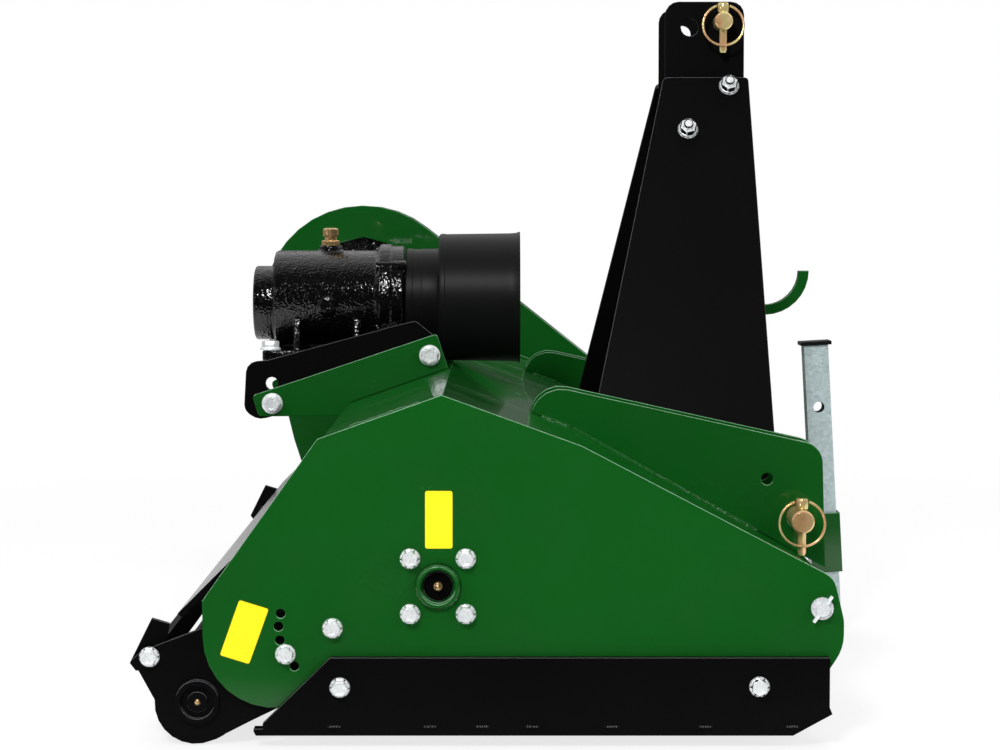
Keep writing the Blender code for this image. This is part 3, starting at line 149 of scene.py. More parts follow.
def material(name, colour, roughness, metallic=0.0, specular=0.5):
    """Start a material: its shader, and the coordinates that its patterns read."""
    made = bpy.data.materials.new(name)
    made.use_nodes = True
    tree = made.node_tree
    shader = tree.nodes["Principled BSDF"]
    feed(tree, shader, {"Base Color": linear(colour), "Roughness": roughness, "Metallic": metallic,
                        "Specular IOR Level": specular})
    return made, tree, shader, (node(tree, "ShaderNodeTexCoord"), "Object")


LOOKS = {}                   # the finish of each material slot in the record
print("mid grey is", round(linear("#808080")[0], 3), "in linear light")


# %% [markdown]
# ## Edges
# No real edge is sharp, and a rounded one catches the light. Bevelling every
# imported mesh would change its shape, so the Bevel node rounds the shading alone.
# The bumps of the surface are laid over that, one after another.
#
# Where paint wraps an edge that faces up, light from above leaves a thin pale line.
# That line is a painted highlight here: a paler colour mixed into the paint. The
# Bevel node finds it: there its rounded normal has turned away from the flat
# face's own normal, and points up.

# %% Edges
# The pale line along edges is a painted highlight: these two set where it starts and where it is full.
EDGE_FLAT = 0.98             # cosine of a turn of 11 degrees, where the line starts
EDGE_TURNED = 0.82           # and of 35 degrees, where it is full
UP_LITTLE = 0.10             # height of a unit normal that faces up a little
UP_MUCH = 0.45


def soft_edges(tree, shader, radius, *bumps):
    """Round the edges in mm, then lay on bumps: (pattern, strength, depth in mm)."""
    last = node(tree, "ShaderNodeBevel", {"Radius": radius / 1000}, samples=4)
    for pattern, strength, depth in bumps:
        last = node(tree, "ShaderNodeBump", {"Height": (pattern, "Fac"), "Strength": strength,
                                             "Distance": depth / 1000, "Normal": (last, "Normal")})
    feed(tree, shader, {"Normal": (last, "Normal")})


def painted_edge_highlight(tree, paint, radius, colour, most):
    """Mix a paler colour, a painted highlight, into the paint where it wraps an edge that faces up."""
    curved = node(tree, "ShaderNodeBevel", {"Radius": radius / 1000}, samples=6)
    flat = node(tree, "ShaderNodeNewGeometry")
    same = node(tree, "ShaderNodeVectorMath", {0: (curved, "Normal"), 1: (flat, "True Normal")},
                operation="DOT_PRODUCT")
    turned = node(tree, "ShaderNodeMapRange", {"Value": (same, "Value"), "From Min": EDGE_FLAT,
                                               "From Max": EDGE_TURNED, "To Max": most})
    axes = node(tree, "ShaderNodeSeparateXYZ", {"Vector": (curved, "Normal")})
    upward = node(tree, "ShaderNodeMapRange", {"Value": (axes, "Z"), "From Min": UP_LITTLE,
                                               "From Max": UP_MUCH})
    # The painted highlight is mixed in where the edge has turned and faces up.
    highlight_mask = node(tree, "ShaderNodeMath", {0: (turned, "Result"), 1: (upward, "Result")},
                operation="MULTIPLY")
    return node(tree, "ShaderNodeMix", {"Factor": (highlight_mask, "Value"), "A": (paint, "Result"),
                                        "B": linear(colour)}, data_type="RGBA")


print("a pale line starts where an edge has turned by", round(degrees(acos(EDGE_FLAT))), "degrees")


# %% [markdown]
# ## Colours that drift
# No paint or plating has one colour all over. Two colours close together, mixed
# by a slow noise, keep it from looking flat. Several finishes use this, so it
# is a function: the noise picks the share, and a Mix node blends the two.

# %% Drifting colour
def drift(tree, here, size, detail, first, second):
    """Mix two colours in clouds that are size mm across."""
    clouds = node(tree, "ShaderNodeTexNoise", {"Vector": here, "Scale": per_mm(size), "Detail": detail})
    return node(tree, "ShaderNodeMix", {"Factor": (clouds, "Fac"), "A": linear(first),
                                        "B": linear(second)}, data_type="RGBA")


print("clouds 200 mm across need a noise of scale", per_mm(200))


# %% [markdown]
# ## Gloss green enamel
# The casing is sheet steel, sprayed with alkyd enamel. Sprayed enamel is deep
# and even, with a faint orange-peel skin that breaks up its reflections. It
# could be one colour, but two greens a shade apart, in clouds a hand wide, stop
# the plates looking flat. A clear coat on the shader gives the wet gloss. A pale
# mint mixed in along edges that face up is a painted highlight. Weld beads get
# the same paint without that painted highlight, which would outline every drop.

# %% Green enamel
def green_enamel(name, with_painted_highlight):
    made, tree, shader, here = material(name, "#0c5117", 0.22, specular=0.20)
    paint = drift(tree, here, 200, 3.0, "#084611", "#0c4f16")
    if with_painted_highlight:
        # painted highlight: a pale mint mixed in along edges that face up
        paint = painted_edge_highlight(tree, paint, 1.2, "#b8ecc4", 0.9)
    smears = node(tree, "ShaderNodeTexNoise", {"Vector": here, "Scale": per_mm(60), "Detail": 4.0})
    gloss = node(tree, "ShaderNodeMapRange", {"Value": (smears, "Fac"), "From Min": 0.35,
                                              "From Max": 0.70, "To Min": 0.16, "To Max": 0.28})
    feed(tree, shader, {"Base Color": (paint, "Result"), "Roughness": (gloss, "Result"),
                        "Coat Weight": 0.55, "Coat Roughness": 0.04})
    wave = node(tree, "ShaderNodeTexNoise", {"Vector": here, "Scale": per_mm(36), "Detail": 1.0})
    peel = node(tree, "ShaderNodeTexNoise", {"Vector": here, "Scale": per_mm(2.4), "Detail": 1.0})
    soft_edges(tree, shader, 1.6, (wave, 0.10, 4.0), (peel, 0.04, 0.6))
    return made


LOOKS["green_paint"] = green_enamel("green_enamel", with_painted_highlight=True)
WELD_GREEN = green_enamel("green_enamel_on_welds", with_painted_highlight=False)
print("green enamel, for plates and for welds")


# %% [markdown]
# ## Satin black powder coat
# The skids, mast, cradle and roller arms are powder coated. The powder melts to
# an even skin, nearly black, and turns grey only where light grazes it. A pale
# grey mixed in along edges that face up is a painted highlight. Its grain is
# under half a millimetre, drawn here at one millimetre so that it shows.

# %% Black powder coat
def black_powder_coat():
    made, tree, shader, here = material("black_powder_coat", "#060606", 0.40, specular=0.05)
    # painted highlight: a pale grey mixed in along edges that face up
    coat_and_highlight = painted_edge_highlight(tree, drift(tree, here, 110, 4.0, "#040404", "#070707"), 1.0, "#8c8c90", 0.7)
    feed(tree, shader, {"Base Color": (coat_and_highlight, "Result")})
    grain = node(tree, "ShaderNodeTexNoise", {"Vector": here, "Scale": per_mm(1), "Detail": 2.0})
    soft_edges(tree, shader, 1.0, (grain, 0.10, 0.5))
    return made


LOOKS["black_paint"] = black_powder_coat()
print("black powder coat")


# %% [markdown]
# ## Gloss black guard
# The guard behind the rotor is a bent steel sheet in gloss paint, cleaner than
# the powder coat. The rolling mill leaves faint lines in such sheet, and gloss
# shows them. A Mapping node squeezes a noise along Y, which turns its lumps into
# lines a tenth of a metre long and two millimetres wide, up and down the sheet.

# %% Gloss black guard
LINE_MM = 1000 / 9           # length of a rolling line
LINE_SQUEEZE = 60            # times narrower than it is long


def gloss_black_guard():
    made, tree, shader, here = material("gloss_black_guard", "#0a0a0b", 0.16, specular=0.12)
    squeezed = node(tree, "ShaderNodeMapping", {"Vector": here, "Scale": (1, LINE_SQUEEZE, 1)})
    lines = node(tree, "ShaderNodeTexNoise", {"Vector": (squeezed, "Vector"), "Scale": per_mm(LINE_MM),
                                              "Detail": 2.0})
    soft_edges(tree, shader, 0.8, (lines, 0.06, 0.8))
    return made


GUARD_LOOK = gloss_black_guard()
print("gloss black guard")


# %% [markdown]
# ## Painted rough casting
# The gearbox is cast in sand and painted gloss black straight over the rough
# skin. The sand leaves pits of two millimetres on lumps of seven, and each
# throws its own spark. A noise could move the mesh, but at this size two bumps
# do the same for the eye, and the outline stays clean.

# %% Painted casting
def painted_cast_iron():
    made, tree, shader, here = material("painted_cast_iron", "#050505", 0.14, specular=0.50)
    lumps = node(tree, "ShaderNodeTexNoise", {"Vector": here, "Scale": per_mm(7), "Detail": 1.0})
    pits = node(tree, "ShaderNodeTexNoise", {"Vector": here, "Scale": per_mm(2.3), "Detail": 0.0})
    soft_edges(tree, shader, 2.2, (lumps, 0.22, 2.6), (pits, 0.42, 1.4))
    return made


LOOKS["cast_case"] = painted_cast_iron()
print("painted cast iron")


# %% [markdown]
# ## Moulded polyethylene
# The cup round the drive shaft and the cap of the stand are injection moulded.
# This plastic is dull and soft to the eye, with faint swells where it shrank in
# the mould and a fine grain. The swells are a wave of bands along the shaft,
# 19 mm apart. In a Wave texture of scale 1 the bands are tau/20 m apart.

# %% Black plastic
SWELL_MM = 18.85


def moulded_polyethylene():
    made, tree, shader, here = material("moulded_polyethylene", "#0e0e0f", 0.42, specular=0.13)
    swells = node(tree, "ShaderNodeTexWave", {"Vector": here, "Scale": per_mm(SWELL_MM) * tau / 20,
                                              "Distortion": 0.4}, wave_type="BANDS", bands_direction="X")
    grain = node(tree, "ShaderNodeTexNoise", {"Vector": here, "Scale": per_mm(0.8), "Detail": 2.0})
    soft_edges(tree, shader, 1.0, (swells, 0.05, 0.4), (grain, 0.12, 0.3))
    return made


LOOKS["shield_plastic"] = moulded_polyethylene()
print("moulded polyethylene")


# %% [markdown]
# ## Bright zinc
# Bolts are electroplated with bright zinc, which has a blue cast. Pure metal
# would mirror the dark side of the room, so this is under half metal and the
# rest is diffuse, which is how a fine etched plating looks. Handling leaves it
# cloudy, in its colour and in its shine.

# %% Bright zinc
def bright_zinc_plate():
    made, tree, shader, here = material("bright_zinc_plate", "#e6eaec", 0.24, 0.42)
    plate = drift(tree, here, 14, 3.0, "#d3dade", "#fafbfb")
    smears = node(tree, "ShaderNodeTexNoise", {"Vector": here, "Scale": per_mm(4), "Detail": 3.0})
    gloss = node(tree, "ShaderNodeMapRange", {"Value": (smears, "Fac"), "From Min": 0.35,
                                              "From Max": 0.65, "To Min": 0.20, "To Max": 0.36})
    feed(tree, shader, {"Base Color": (plate, "Result"), "Roughness": (gloss, "Result")})
    etch = node(tree, "ShaderNodeTexNoise", {"Vector": here, "Scale": per_mm(1.4), "Detail": 2.0})
    soft_edges(tree, shader, 0.6, (etch, 0.08, 0.4))
    return made


LOOKS["zinc"] = bright_zinc_plate()
print("bright zinc")


# %% [markdown]
# ## Yellow zinc
# Hitch pins, linchpins and rings are zinc under a film of yellow chromate. The
# film's thickness varies, and its colour with it, from straw to pink and green.
# A colour ramp over a slow noise runs through four colours in the same way.

# %% Yellow zinc
FILM_COLOURS = ((0.30, "#cda46c"), (0.44, "#e8b98c"), (0.56, "#dccd8c"), (0.70, "#efd39f"))


def yellow_chromate_zinc():
    made, tree, shader, here = material("yellow_chromate_zinc", "#dcb98a", 0.22, 0.62)
    film = node(tree, "ShaderNodeTexNoise", {"Vector": here, "Scale": per_mm(22), "Detail": 2.0})
    straw = node(tree, "ShaderNodeValToRGB", {"Fac": (film, "Fac")})
    stops = straw.color_ramp.elements
    stops.remove(stops[1])
    stops[0].position, stops[0].color = FILM_COLOURS[0][0], linear(FILM_COLOURS[0][1])
    for position, colour in FILM_COLOURS[1:]:
        stops.new(position).color = linear(colour)
    feed(tree, shader, {"Base Color": (straw, "Color")})
    grain = node(tree, "ShaderNodeTexNoise", {"Vector": here, "Scale": per_mm(2), "Detail": 2.0})
    soft_edges(tree, shader, 0.5, (grain, 0.10, 0.4))
    return made


LOOKS["yellow_zinc"] = yellow_chromate_zinc()
print("yellow zinc, in", len(FILM_COLOURS), "colours")


# %% [markdown]
# ## Galvanised tube
# The parking stand's leg is a steel tube dipped in molten zinc. The zinc sets in
# crystals of some 3 mm, each its own grey and its own shine. A Voronoi texture
# has such cells, and gives each a random colour: its red picks the grey, and
# its green the roughness.

# %% Galvanised tube
def galvanised_steel():
    made, tree, shader, here = material("galvanised_steel", "#b6c6c8", 0.42, 0.45)
    crystals = node(tree, "ShaderNodeTexVoronoi", {"Vector": here, "Scale": per_mm(3)})
    shades = node(tree, "ShaderNodeSeparateColor", {"Color": (crystals, "Color")})
    skin = node(tree, "ShaderNodeMix", {"Factor": (shades, "Red"), "A": linear("#b3c4c7"),
                                        "B": linear("#c9d8d9")}, data_type="RGBA")
    gloss = node(tree, "ShaderNodeMapRange", {"Value": (shades, "Green"), "To Min": 0.34, "To Max": 0.55})
    feed(tree, shader, {"Base Color": (skin, "Result"), "Roughness": (gloss, "Result")})
    runs = node(tree, "ShaderNodeTexNoise", {"Vector": here, "Scale": per_mm(11), "Detail": 3.0})
    soft_edges(tree, shader, 1.0, (runs, 0.10, 1.0))
    return made


TUBE_LOOK = galvanised_steel()
print("galvanised tube")


# %% [markdown]
# ## Forged steel
# Rotor, hammers and shafts are forged or turned steel, darkened by handling.
# Scale from the forge lies in patches: darker and duller where it stayed. One
# noise drives both the colour and the roughness, so that the patches agree.

# %% Forged steel
def forged_steel():
    made, tree, shader, here = material("forged_steel", "#807e7b", 0.42, 0.9)
    scale = node(tree, "ShaderNodeTexNoise", {"Vector": here, "Scale": per_mm(17), "Detail": 5.0})
    metal = node(tree, "ShaderNodeMix", {"Factor": (scale, "Fac"), "A": linear("#595755"),
                                         "B": linear("#9d9c9a")}, data_type="RGBA")
    gloss = node(tree, "ShaderNodeMapRange", {"Value": (scale, "Fac"), "From Min": 0.35,
                                              "From Max": 0.65, "To Min": 0.55, "To Max": 0.30})
    feed(tree, shader, {"Base Color": (metal, "Result"), "Roughness": (gloss, "Result")})
    dents = node(tree, "ShaderNodeTexNoise", {"Vector": here, "Scale": per_mm(4), "Detail": 3.0})
    soft_edges(tree, shader, 0.8, (dents, 0.15, 1.0))
    return made


LOOKS["steel"] = forged_steel()
print("forged steel")


# %% [markdown]
# ## Belt rubber
# The drive belts are rubber with a woven back. Real threads are finer than a
# millimetre, so the weave is drawn coarser, as bricks 1.5 mm long. In a Brick
# texture of scale 1 they are half a metre long, so the scale is halved.

# %% Belt rubber
THREAD_MM = 1.5


def woven_rubber():
    made, tree, shader, here = material("belt_rubber", "#1c1c1c", 0.75)
    weave = node(tree, "ShaderNodeTexBrick", {"Vector": here, "Scale": per_mm(THREAD_MM) / 2})
    soft_edges(tree, shader, 0.8, (weave, 0.30, 0.6))
    return made


LOOKS["belt_rubber"] = woven_rubber()
print("belt rubber")


# %% [markdown]
# ## Turned brass
# The breather and the grease nipples are turned from brass bar, which dulls in
# patches as it ages. Two brasses in clouds of 8 mm show that, and a faint bump
# stands for the marks of the cutting tool.

# %% Turned brass
def turned_brass():
    made, tree, shader, here = material("turned_brass", "#d8b27a", 0.28, 0.9)
    feed(tree, shader, {"Base Color": (drift(tree, here, 8, 3.0, "#b98f58", "#ecca94"), "Result")})
    marks = node(tree, "ShaderNodeTexNoise", {"Vector": here, "Scale": per_mm(1.6), "Detail": 1.0})
    soft_edges(tree, shader, 0.4, (marks, 0.10, 0.4))
    return made


LOOKS["brass"] = turned_brass()
print("turned brass")


# %% [markdown]
# ## Yellow vinyl
# The stickers are cast vinyl film, even and a little shiny. The film is smooth
# at this size, so it has two close yellows and no bump.

# %% Yellow vinyl
def yellow_vinyl():
    made, tree, shader, here = material("yellow_vinyl", "#f4d50c", 0.35, specular=0.25)
    feed(tree, shader, {"Base Color": (drift(tree, here, 30, 2.0, "#f2cf0a", "#f7dc18"), "Result")})
    return made


VINYL = yellow_vinyl()
print("yellow vinyl")


# %% [markdown]
# ## A finish for every node
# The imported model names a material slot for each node. Most nodes take the
# finish of their slot, and two have one of their own.

# %% Finish every node
OWN_LOOKS = {"stand_leg": TUBE_LOOK, "rear_guard": GUARD_LOOK}
for part in frame["record"]["subparts"]:
    look = OWN_LOOKS.get(part["node"], LOOKS[part["material_slot"]])
    NODES[part["node"]].data.materials.clear()
    NODES[part["node"]].data.materials.append(look)
print(len(LOOKS) + len(OWN_LOOKS), "finishes on", len(NODES), "nodes")


# %% [markdown]
# ## Adding a piece
# Every added piece is a bmesh made in world coordinates. The helper gives it a
# name, a material and the body that it rides on.

# %% Piece helper
def piece(name, bm, slot_name, body="casing", look=None, smooth=40, stands_for=()):
    """Turn a bmesh into an object. Edges that turn by over smooth degrees stay sharp."""
    bmesh.ops.recalc_face_normals(bm, faces=bm.faces)
    mesh = bpy.data.meshes.new(name)
    bm.to_mesh(mesh)
    bm.free()
    mesh.shade_smooth()
    mesh.set_sharp_from_angle(angle=radians(smooth))
    mesh.materials.append(look or LOOKS[slot_name])
    made = bpy.data.objects.new(name, mesh)
    bpy.context.scene.collection.objects.link(made)
    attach(made, body)
    if stands_for:
        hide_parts(*stands_for)
    return made


# %% [markdown]
# ## Shapes that come back
# Turned work starts as half an outline that is spun round. A casting's blocks
# are cubes, stretched and bevelled. Spring wire is a curve with a round bevel,
# turned into a mesh. Each shape is made where the outline is easy to write, and
# then turned and moved to its place.

# %% Shape helpers
MERGE = 1e-6                 # points closer than this are one


def lathe(profile, steps):
    """Turn (radius, height) points about Z."""
    bm = bmesh.new()
    verts = [bm.verts.new((r, 0, z)) for r, z in profile]
    edges = [bm.edges.new(pair) for pair in zip(verts, verts[1:])]
    bmesh.ops.spin(bm, geom=verts + edges, axis=(0, 0, 1), cent=(0, 0, 0), angle=tau, steps=steps,
                   use_merge=True)
    bmesh.ops.remove_doubles(bm, verts=bm.verts, dist=MERGE)
    return bm


def turn_to(bm, direction, place):
    """Point a shape that was made along +Z along a direction, and move it."""
    turn = Vector((0, 0, 1)).rotation_difference(Vector(direction)).to_matrix()
    bmesh.ops.rotate(bm, matrix=turn, verts=bm.verts)
    bmesh.ops.translate(bm, vec=place, verts=bm.verts)
    return bm


def join(parts):
    """Put several bmeshes into the first one."""
    whole = parts[0]
    for other in parts[1:]:
        mesh = bpy.data.meshes.new("part")
        other.to_mesh(mesh)
        other.free()
        whole.from_mesh(mesh)
        bpy.data.meshes.remove(mesh)
    return whole


def slab(low, high, rounding):
    """A box between two corners, with rounded edges."""
    bm = bmesh.new()
    bmesh.ops.create_cube(bm, size=1)
    low, high = Vector(low), Vector(high)
    bmesh.ops.scale(bm, vec=high - low, verts=bm.verts)
    bmesh.ops.translate(bm, vec=(low + high) / 2, verts=bm.verts)
    bmesh.ops.bevel(bm, geom=bm.edges, offset=rounding, segments=3, profile=0.5, affect="EDGES",
                    material=-1)
    return bm


def wire(points, radius):
    """A round wire along points."""
    curve = bpy.data.curves.new("wire", "CURVE")
    curve.dimensions = "3D"
    curve.bevel_depth = radius
    curve.bevel_resolution = 3
    curve.use_fill_caps = True
    line = curve.splines.new("POLY")
    line.points.add(len(points) - 1)
    for spot, point in zip(line.points, points):
        spot.co = (*point, 1)
    holder = bpy.data.objects.new("wire", curve)
    mesh = bpy.data.meshes.new_from_object(holder)
    bm = bmesh.new()
    bm.from_mesh(mesh)
    bpy.data.objects.remove(holder)
    bpy.data.curves.remove(curve)
    bpy.data.meshes.remove(mesh)
    return bm


print("points closer than", 1000 * MERGE, "mm are merged")


# %% [markdown]
# ## Flange bolts
# Each bolt head has a sloping flange, six flats and a domed, chamfered top. A
# turned profile gives the rings. Of its 24 points round, six stay as corners,
# and pulling the others in to the lines between them gives the flats. Each head
# in a set is turned a little further, as a spanner leaves them.

# %% Bolt helper
HEAD = [(0.0110, -0.0002), (0.0112, 0.0010), (0.0106, 0.0021), (0.0094, 0.0030), (0.0093, 0.0031),
        (0.0093, 0.0086), (0.0086, 0.0095), (0.0060, 0.0096), (0.0056, 0.0091), (0.0, 0.0091)]
FLATS_FROM = 0.00305         # height where the flats start
M10 = (1.0, 1.0)             # width and height, in M10 heads
M8 = (0.81, 0.90)
TWIST = 0.4                  # radians from one head to the next
UP = (0, 0, 1)
print("an M10 head is", round(2000 * max(r for r, z in HEAD), 1), "mm across its flange")


def hexagon(bm, low):
    """Flatten the 24-sided turning above a height into six flats."""
    for v in bm.verts:
        radius = hypot(v.co.x, v.co.y)
        if v.co.z < low or radius < MERGE:
            continue
        off_flat = degrees(atan2(v.co.y, v.co.x)) % 60 - 30
        pull = cos(radians(30)) / cos(radians(off_flat))
        v.co.x *= pull
        v.co.y *= pull


def bolt_head(place, direction, size, spin):
    bm = lathe([(r * size[0], z * size[1]) for r, z in HEAD], steps=24)
    hexagon(bm, FLATS_FROM * size[1])
    bmesh.ops.rotate(bm, matrix=Matrix.Rotation(spin, 3, "Z"), verts=bm.verts)
    return turn_to(bm, direction, place)


def head_set(name, spots, direction, body="casing", size=M10):
    heads = [bolt_head(at(*spot), direction, size, TWIST * i) for i, spot in enumerate(spots)]
    return piece(name, join(heads), "zinc", body)


# %% [markdown]
# ## Where the bolts sit
# On each side, four bolts hold the bearing, two the roller arm, two the skid,
# two the gearbox's saddle and one the scraper. The arm turns on its front bolt.
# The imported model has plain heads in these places, and each new head covers one.
# Five more hold the cover of the belt guard, which has none to cover.

# %% Bolts
BEARING_STEP = 0.0245
BEARING_BOLTS = [(x, z) for x in (-BEARING_STEP, BEARING_STEP) for z in (-BEARING_STEP, BEARING_STEP)]
ARM = pivot("height_swing")
LOCK_BOLTS = ((ARM.x, ARM.z), (-0.1343, -0.0602))
SKID_BOLTS = ((-0.0861, -0.0883), (0.2821, -0.0875))
SADDLE_BOLTS = ((-0.1846, 0.1272), (-0.0192, 0.1778))
SCRAPER_BOLT = ((-0.2548, -0.0636),)
COVER_BOLTS = ((-0.2330, 0.2250), (-0.0500, 0.2880), (0.1480, 0.0920), (0.0620, -0.0450), (-0.1830, -0.0300))
GAP = 0.0003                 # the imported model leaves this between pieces
SKID_T = 0.0080              # thickness of a skid's plate
NUDGE = 0.0001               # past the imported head, or into the cover
BEARING_Y = HALF + GAP + NUDGE
LOCK_Y = HALF + NUDGE
SKID_Y = HALF + GAP + SKID_T + NUDGE
SADDLE_Y = 0.1178 + NUDGE
ARM_Y = 0.5687 + NUDGE
COVER_Y = reach_of("belt_guard_cover")[1].y - NUDGE

for word, side in SIDES.items():
    out = (0, side, 0)
    head_set(word + "_bearing_bolts", on_side(side, BEARING_Y, BEARING_BOLTS), out, size=M8)
    head_set(word + "_lock_bolts", on_side(side, LOCK_Y, LOCK_BOLTS), out, size=M8)
    head_set(word + "_skid_bolts", on_side(side, SKID_Y, SKID_BOLTS), out, size=M8)
    head_set(word + "_saddle_bolts", on_side(side, SADDLE_Y, SADDLE_BOLTS), out)
    head_set(word + "_scraper_bolt", on_side(side, ARM_Y, SCRAPER_BOLT), out, "roller_frame", M8)
head_set("belt_cover_bolts", on_side(1, COVER_Y, COVER_BOLTS), (0, 1, 0), size=M8)
print("bolt heads done, the cover's at", round(COVER_Y, 4))


# %% [markdown]
# ## The drive shaft's cup
# The moulded cup is a body of revolution: a collar that bolts to the case, a
# step, and a wide mouth that flares a little at its lip. Its wall is one
# outline, out along the outside and back along the inside. Turning that gives
# it the fillets and the thickness at once.

# %% Cup
SHAFT_Z = pivot("input_spin").z
CUP = [(0.0300, -0.0476), (0.0516, -0.0476), (0.0530, -0.0462), (0.0530, -0.0400), (0.0525, -0.0396),
       (0.0525, -0.0300), (0.0528, -0.0296), (0.0528, -0.0140), (0.0536, -0.0122), (0.0670, -0.0116),
       (0.0686, -0.0104), (0.0692, -0.0085), (0.0692, -0.0050), (0.0688, -0.0045), (0.0697, 0.0640),
       (0.0702, 0.0723), (0.0712, 0.0745), (0.0715, 0.0763), (0.0688, 0.0763), (0.0672, 0.0715),
       (0.0660, -0.0070), (0.0640, -0.0086), (0.0508, -0.0092), (0.0500, -0.0110), (0.0500, -0.0436),
       (0.0300, -0.0436), (0.0300, -0.0476)]
cup = turn_to(lathe(CUP, steps=96), (1, 0, 0), at(0, 0, SHAFT_Z))
piece("moulded_cup", cup, "shield_plastic", smooth=25, stands_for=["pto_shield"])
print("cup turned on the shaft at", round(SHAFT_Z, 4))


# %% [markdown]
# ## The gearbox case
# A founder casts the case in sand: a thick barrel with a cover at its rear end,
# a flange in front, two gussets down to the foot, and a long tube to the belts.
# Each is a plain turned or rounded solid, sunk into the next as a casting is.

# %% Case
BARREL = [(0.0, -0.1905), (0.0455, -0.1905), (0.0495, -0.1892), (0.0510, -0.1868), (0.0510, -0.0812),
          (0.0525, -0.0786), (0.0568, -0.0762), (0.0580, -0.0748), (0.0580, -0.0640), (0.0568, -0.0627),
          (0.0560, -0.0618), (0.0560, -0.0508), (0.0548, -0.0497), (0.0300, -0.0495)]
COVER = [(0.0, -0.2122), (0.0368, -0.2122), (0.0392, -0.2113), (0.0402, -0.2096), (0.0402, -0.1880)]
TUBE = [(0.0400, 0.0200), (0.0400, 0.0698), (0.0410, 0.0722), (0.0488, 0.0736), (0.0500, 0.0748),
        (0.0500, 0.0850), (0.0490, 0.0862), (0.0318, 0.0872), (0.0300, 0.0892), (0.0300, 0.5890),
        (0.0152, 0.5890), (0.0152, 0.5790)]
BOSS = [(0.0160, 0.0480), (0.0142, 0.0510), (0.0130, 0.0530), (0.0128, 0.0550), (0.0118, 0.0564),
        (0.0, 0.0564)]
COVER_DROP = 0.006           # the rear cover sits a little low on the barrel
FOOT_Z = reach_of("gearbox_case")[0].z
FOOT_T = 0.012
FOOT_X = (-0.2000, -0.0560)
FOOT_Y = 0.0620
FOOT_ROUND = 0.0025
WEB_X = (-0.1880, -0.0700)
WEB_Y = 0.0060
WEB_ROUND = 0.0010
GUSSETS = (-0.1670, -0.1030)
GUSSET_W = 0.0070
GUSSET_Y = 0.0580
GUSSET_ROUND = 0.0018
GUSSET_LEAN = 0.28           # share of its width that a gusset loses on the way up
CROSS = pivot("cross_spin")
FILLER_X = sum(corner.x for corner in reach_of("filler_plug")) / 2


def gusset(x):
    """A rib that leans in from the foot to the barrel."""
    bm = slab((x, -GUSSET_Y, FOOT_Z + FOOT_T / 2), (x + GUSSET_W, GUSSET_Y, SHAFT_Z), GUSSET_ROUND)
    for v in bm.verts:
        v.co.y *= 1 - GUSSET_LEAN * (v.co.z - FOOT_Z) / (SHAFT_Z - FOOT_Z)
    bmesh.ops.translate(bm, vec=ROTOR, verts=bm.verts)
    return bm


parts = [turn_to(lathe(BARREL, steps=72), (1, 0, 0), at(0, 0, SHAFT_Z)),
         turn_to(lathe(COVER, steps=64), (1, 0, 0), at(0, 0, SHAFT_Z - COVER_DROP)),
         turn_to(lathe(TUBE, steps=64), (0, 1, 0), at(CROSS.x, 0, CROSS.z)),
         turn_to(lathe(BOSS, steps=40), UP, at(FILLER_X, 0, SHAFT_Z)),
         slab(at(FOOT_X[0], -FOOT_Y, FOOT_Z), at(FOOT_X[1], FOOT_Y, FOOT_Z + FOOT_T), FOOT_ROUND),
         slab(at(WEB_X[0], -WEB_Y, FOOT_Z + FOOT_T / 3), at(WEB_X[1], WEB_Y, SHAFT_Z), WEB_ROUND)]
piece("cast_case", join(parts + [gusset(x) for x in GUSSETS]), "cast_case", smooth=35,
      stands_for=["gearbox_case"])
print("case cast, its foot at", round(FOOT_Z, 4))


# %% [markdown]
# ## Lugs, plug and foot bolts
# Four lugs stand round the front flange for the bolts that hold it. A dished
# plug on the near side closes a machining hole, and four bolts hold the foot.
# Lugs and plug are round, so they are turned.

# %% Case fittings
LUG = [(0.0086, -0.0790), (0.0086, -0.0475), (0.0078, -0.0462), (0.0, -0.0460)]
LUG_RING = 0.050
LUG_ANGLES = (40, 140, 220, 320)
SIDE_PLUG = [(0.0125, 0.0470), (0.0118, 0.0505), (0.0098, 0.0518), (0.0094, 0.0536), (0.0080, 0.0546),
             (0.0038, 0.0546), (0.0034, 0.0530), (0.0, 0.0528)]
SIDE_PLUG_DROP = 0.007
FOOT_BOLTS = [(x, y, FOOT_Z + FOOT_T) for x in (-0.1920, -0.0640) for y in (-0.0520, 0.0520)]

lugs = []
for angle in map(radians, LUG_ANGLES):
    middle = at(0, LUG_RING * cos(angle), SHAFT_Z + LUG_RING * sin(angle))
    lugs.append(turn_to(lathe(LUG, steps=24), (1, 0, 0), middle))
piece("case_lugs", join(lugs), "cast_case", smooth=35)
side_plug = turn_to(lathe(SIDE_PLUG, steps=32), (0, -1, 0), at(FILLER_X, 0, SHAFT_Z - SIDE_PLUG_DROP))
piece("case_side_plug", side_plug, "cast_case")
head_set("case_foot_bolts", FOOT_BOLTS, UP)
print(len(lugs), "lugs, the side plug and", len(FOOT_BOLTS), "foot bolts")


# %% [markdown]
# ## The breather plug
# A brass breather sits in the top boss: a hexagon to turn it by, a narrow neck,
# and a loose cap that lets warm air out. The base is turned and gets its flats
# as the bolt heads do, and the round cap is a second turning on top.

